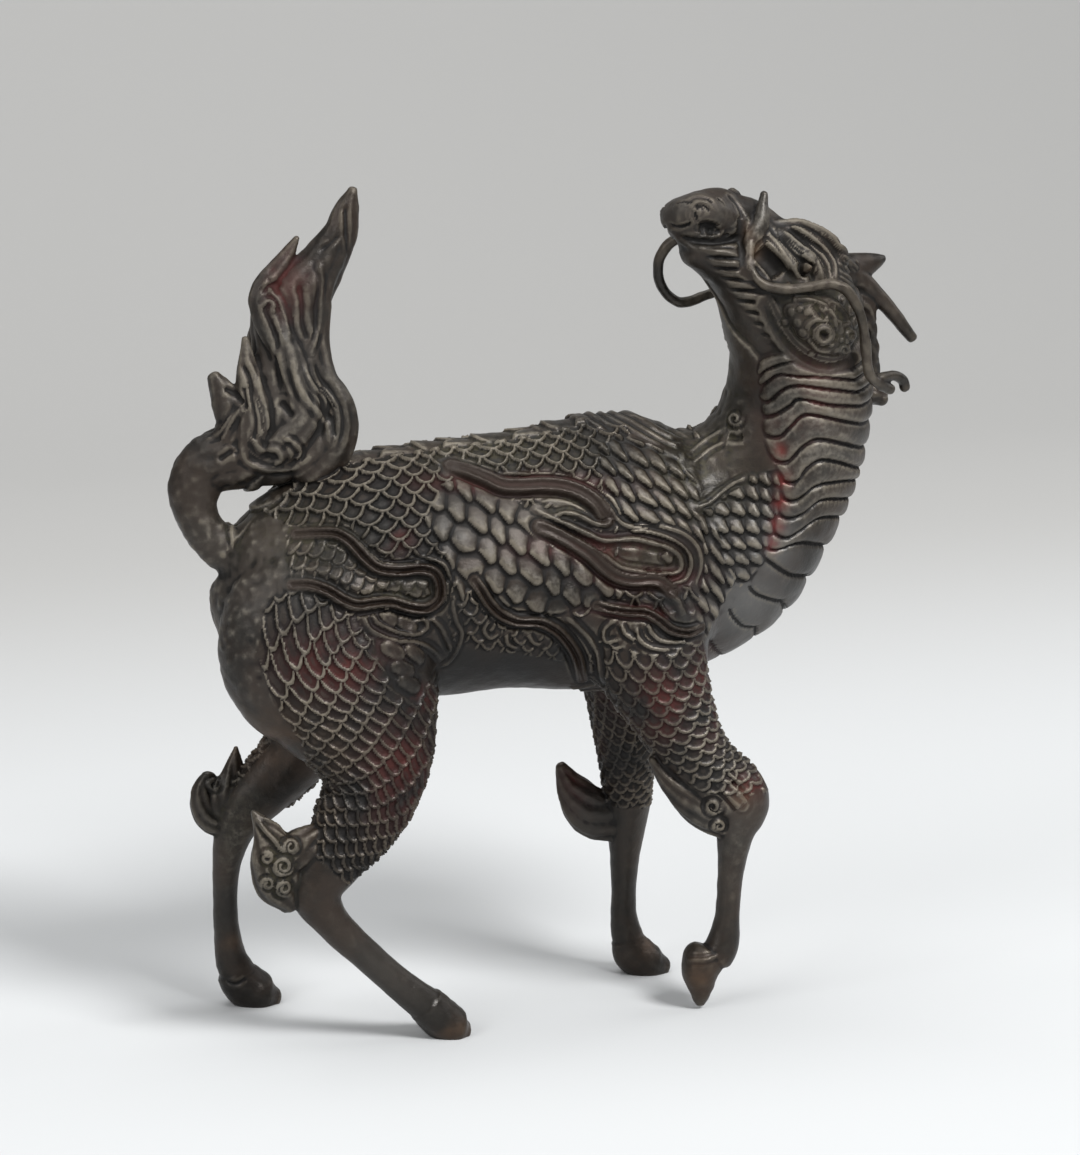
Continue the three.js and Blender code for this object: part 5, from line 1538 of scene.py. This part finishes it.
# Each light's place, what it points at, its size and its power in watts.
LIGHTS = {
    "key": ((0.82, -1.65, 1.95), (0, 0, 0.1), 0.8, 76),
    "side": ((1.3, 0.1, 0.9), (0, 0, 0.1), 0.8, 4),
    "left": ((-1.5, -0.9, 1.2), (0, 0, 0.1), 1.0, 14),
    "top": ((-0.2, 0.3, 1.9), (0, 0.2, 0.0), 1.2, 14),
}
WORLD_COLOUR = (0.96, 0.98, 1.0, 1)
WORLD_STRENGTH = 0.3


def build_floor():
    """A whitish floor that sweeps up behind into a backdrop, painted darker towards the back as painted
    shade.
    """
    arc = np.linspace(0, math.pi / 2, 24)[1:]
    profile = [(FLOOR_FRONT, 0.0), (SWEEP_START, 0.0)]
    profile += [(SWEEP_START + SWEEP_RADIUS * math.sin(a), SWEEP_RADIUS * (1 - math.cos(a))) for a in arc]
    profile += [(SWEEP_START + SWEEP_RADIUS, BACKDROP_TOP)]
    verts = [(x, y, z) for y, z in profile for x in (-FLOOR_HALF_WIDTH, FLOOR_HALF_WIDTH)]
    faces = [(2 * i, 2 * i + 1, 2 * i + 3, 2 * i + 2) for i in range(len(profile) - 1)]
    mesh = bpy.data.meshes.new("studio_floor")
    mesh.from_pydata(verts, [], faces)
    mesh.polygons.foreach_set("use_smooth", [True] * len(faces))
    floor = link("studio_floor", mesh)
    n = Nodes("studio_paper")
    place = n.add("SeparateXYZ", {0: n.add("TexCoord", out="Object")}, out="Y")
    # The floor's colour fades to the darker backdrop colour towards the back: painted shade.
    n.put(n.shader.inputs["Base Color"], n.mix(n.ramp(place, *BACKDROP_SHADE_FADE), FLOOR_COLOUR, BACKDROP_PAINTED_SHADE))
    n.shader.inputs["Roughness"].default_value = 0.85
    mesh.materials.append(n.material)


def build_lights():
    """Soft area lights and a pale surround."""
    bpy.context.scene.view_settings.view_transform = "Standard"
    for name, (place, target, size, watts) in LIGHTS.items():
        data = bpy.data.lights.new(name, "AREA")
        data.energy, data.size = watts, size
        obj = link(name, data)
        obj.location = place
        obj.rotation_euler = (Vector(target) - obj.location).to_track_quat("-Z", "Y").to_euler()
    world = bpy.data.worlds.new("studio")
    bpy.context.scene.world = world
    world.use_nodes = True
    world.node_tree.nodes["Background"].inputs[0].default_value = WORLD_COLOUR
    world.node_tree.nodes["Background"].inputs[1].default_value = WORLD_STRENGTH


def build_camera():
    """The camera, at the photograph's viewing angle."""
    data = bpy.data.cameras.new("camera")
    data.sensor_width = SENSOR
    data.lens = VIEW_FOCAL / IMAGE_HEIGHT * SENSOR
    cam = link("camera", data)
    axes = Matrix((View.right, View.up, View.back)).transposed()
    cam.matrix_world = Matrix.Translation(Vector(View.eye) * MM) @ axes.to_4x4()
    bpy.context.scene.camera = cam


dress()
build_floor()
build_lights()
build_camera()
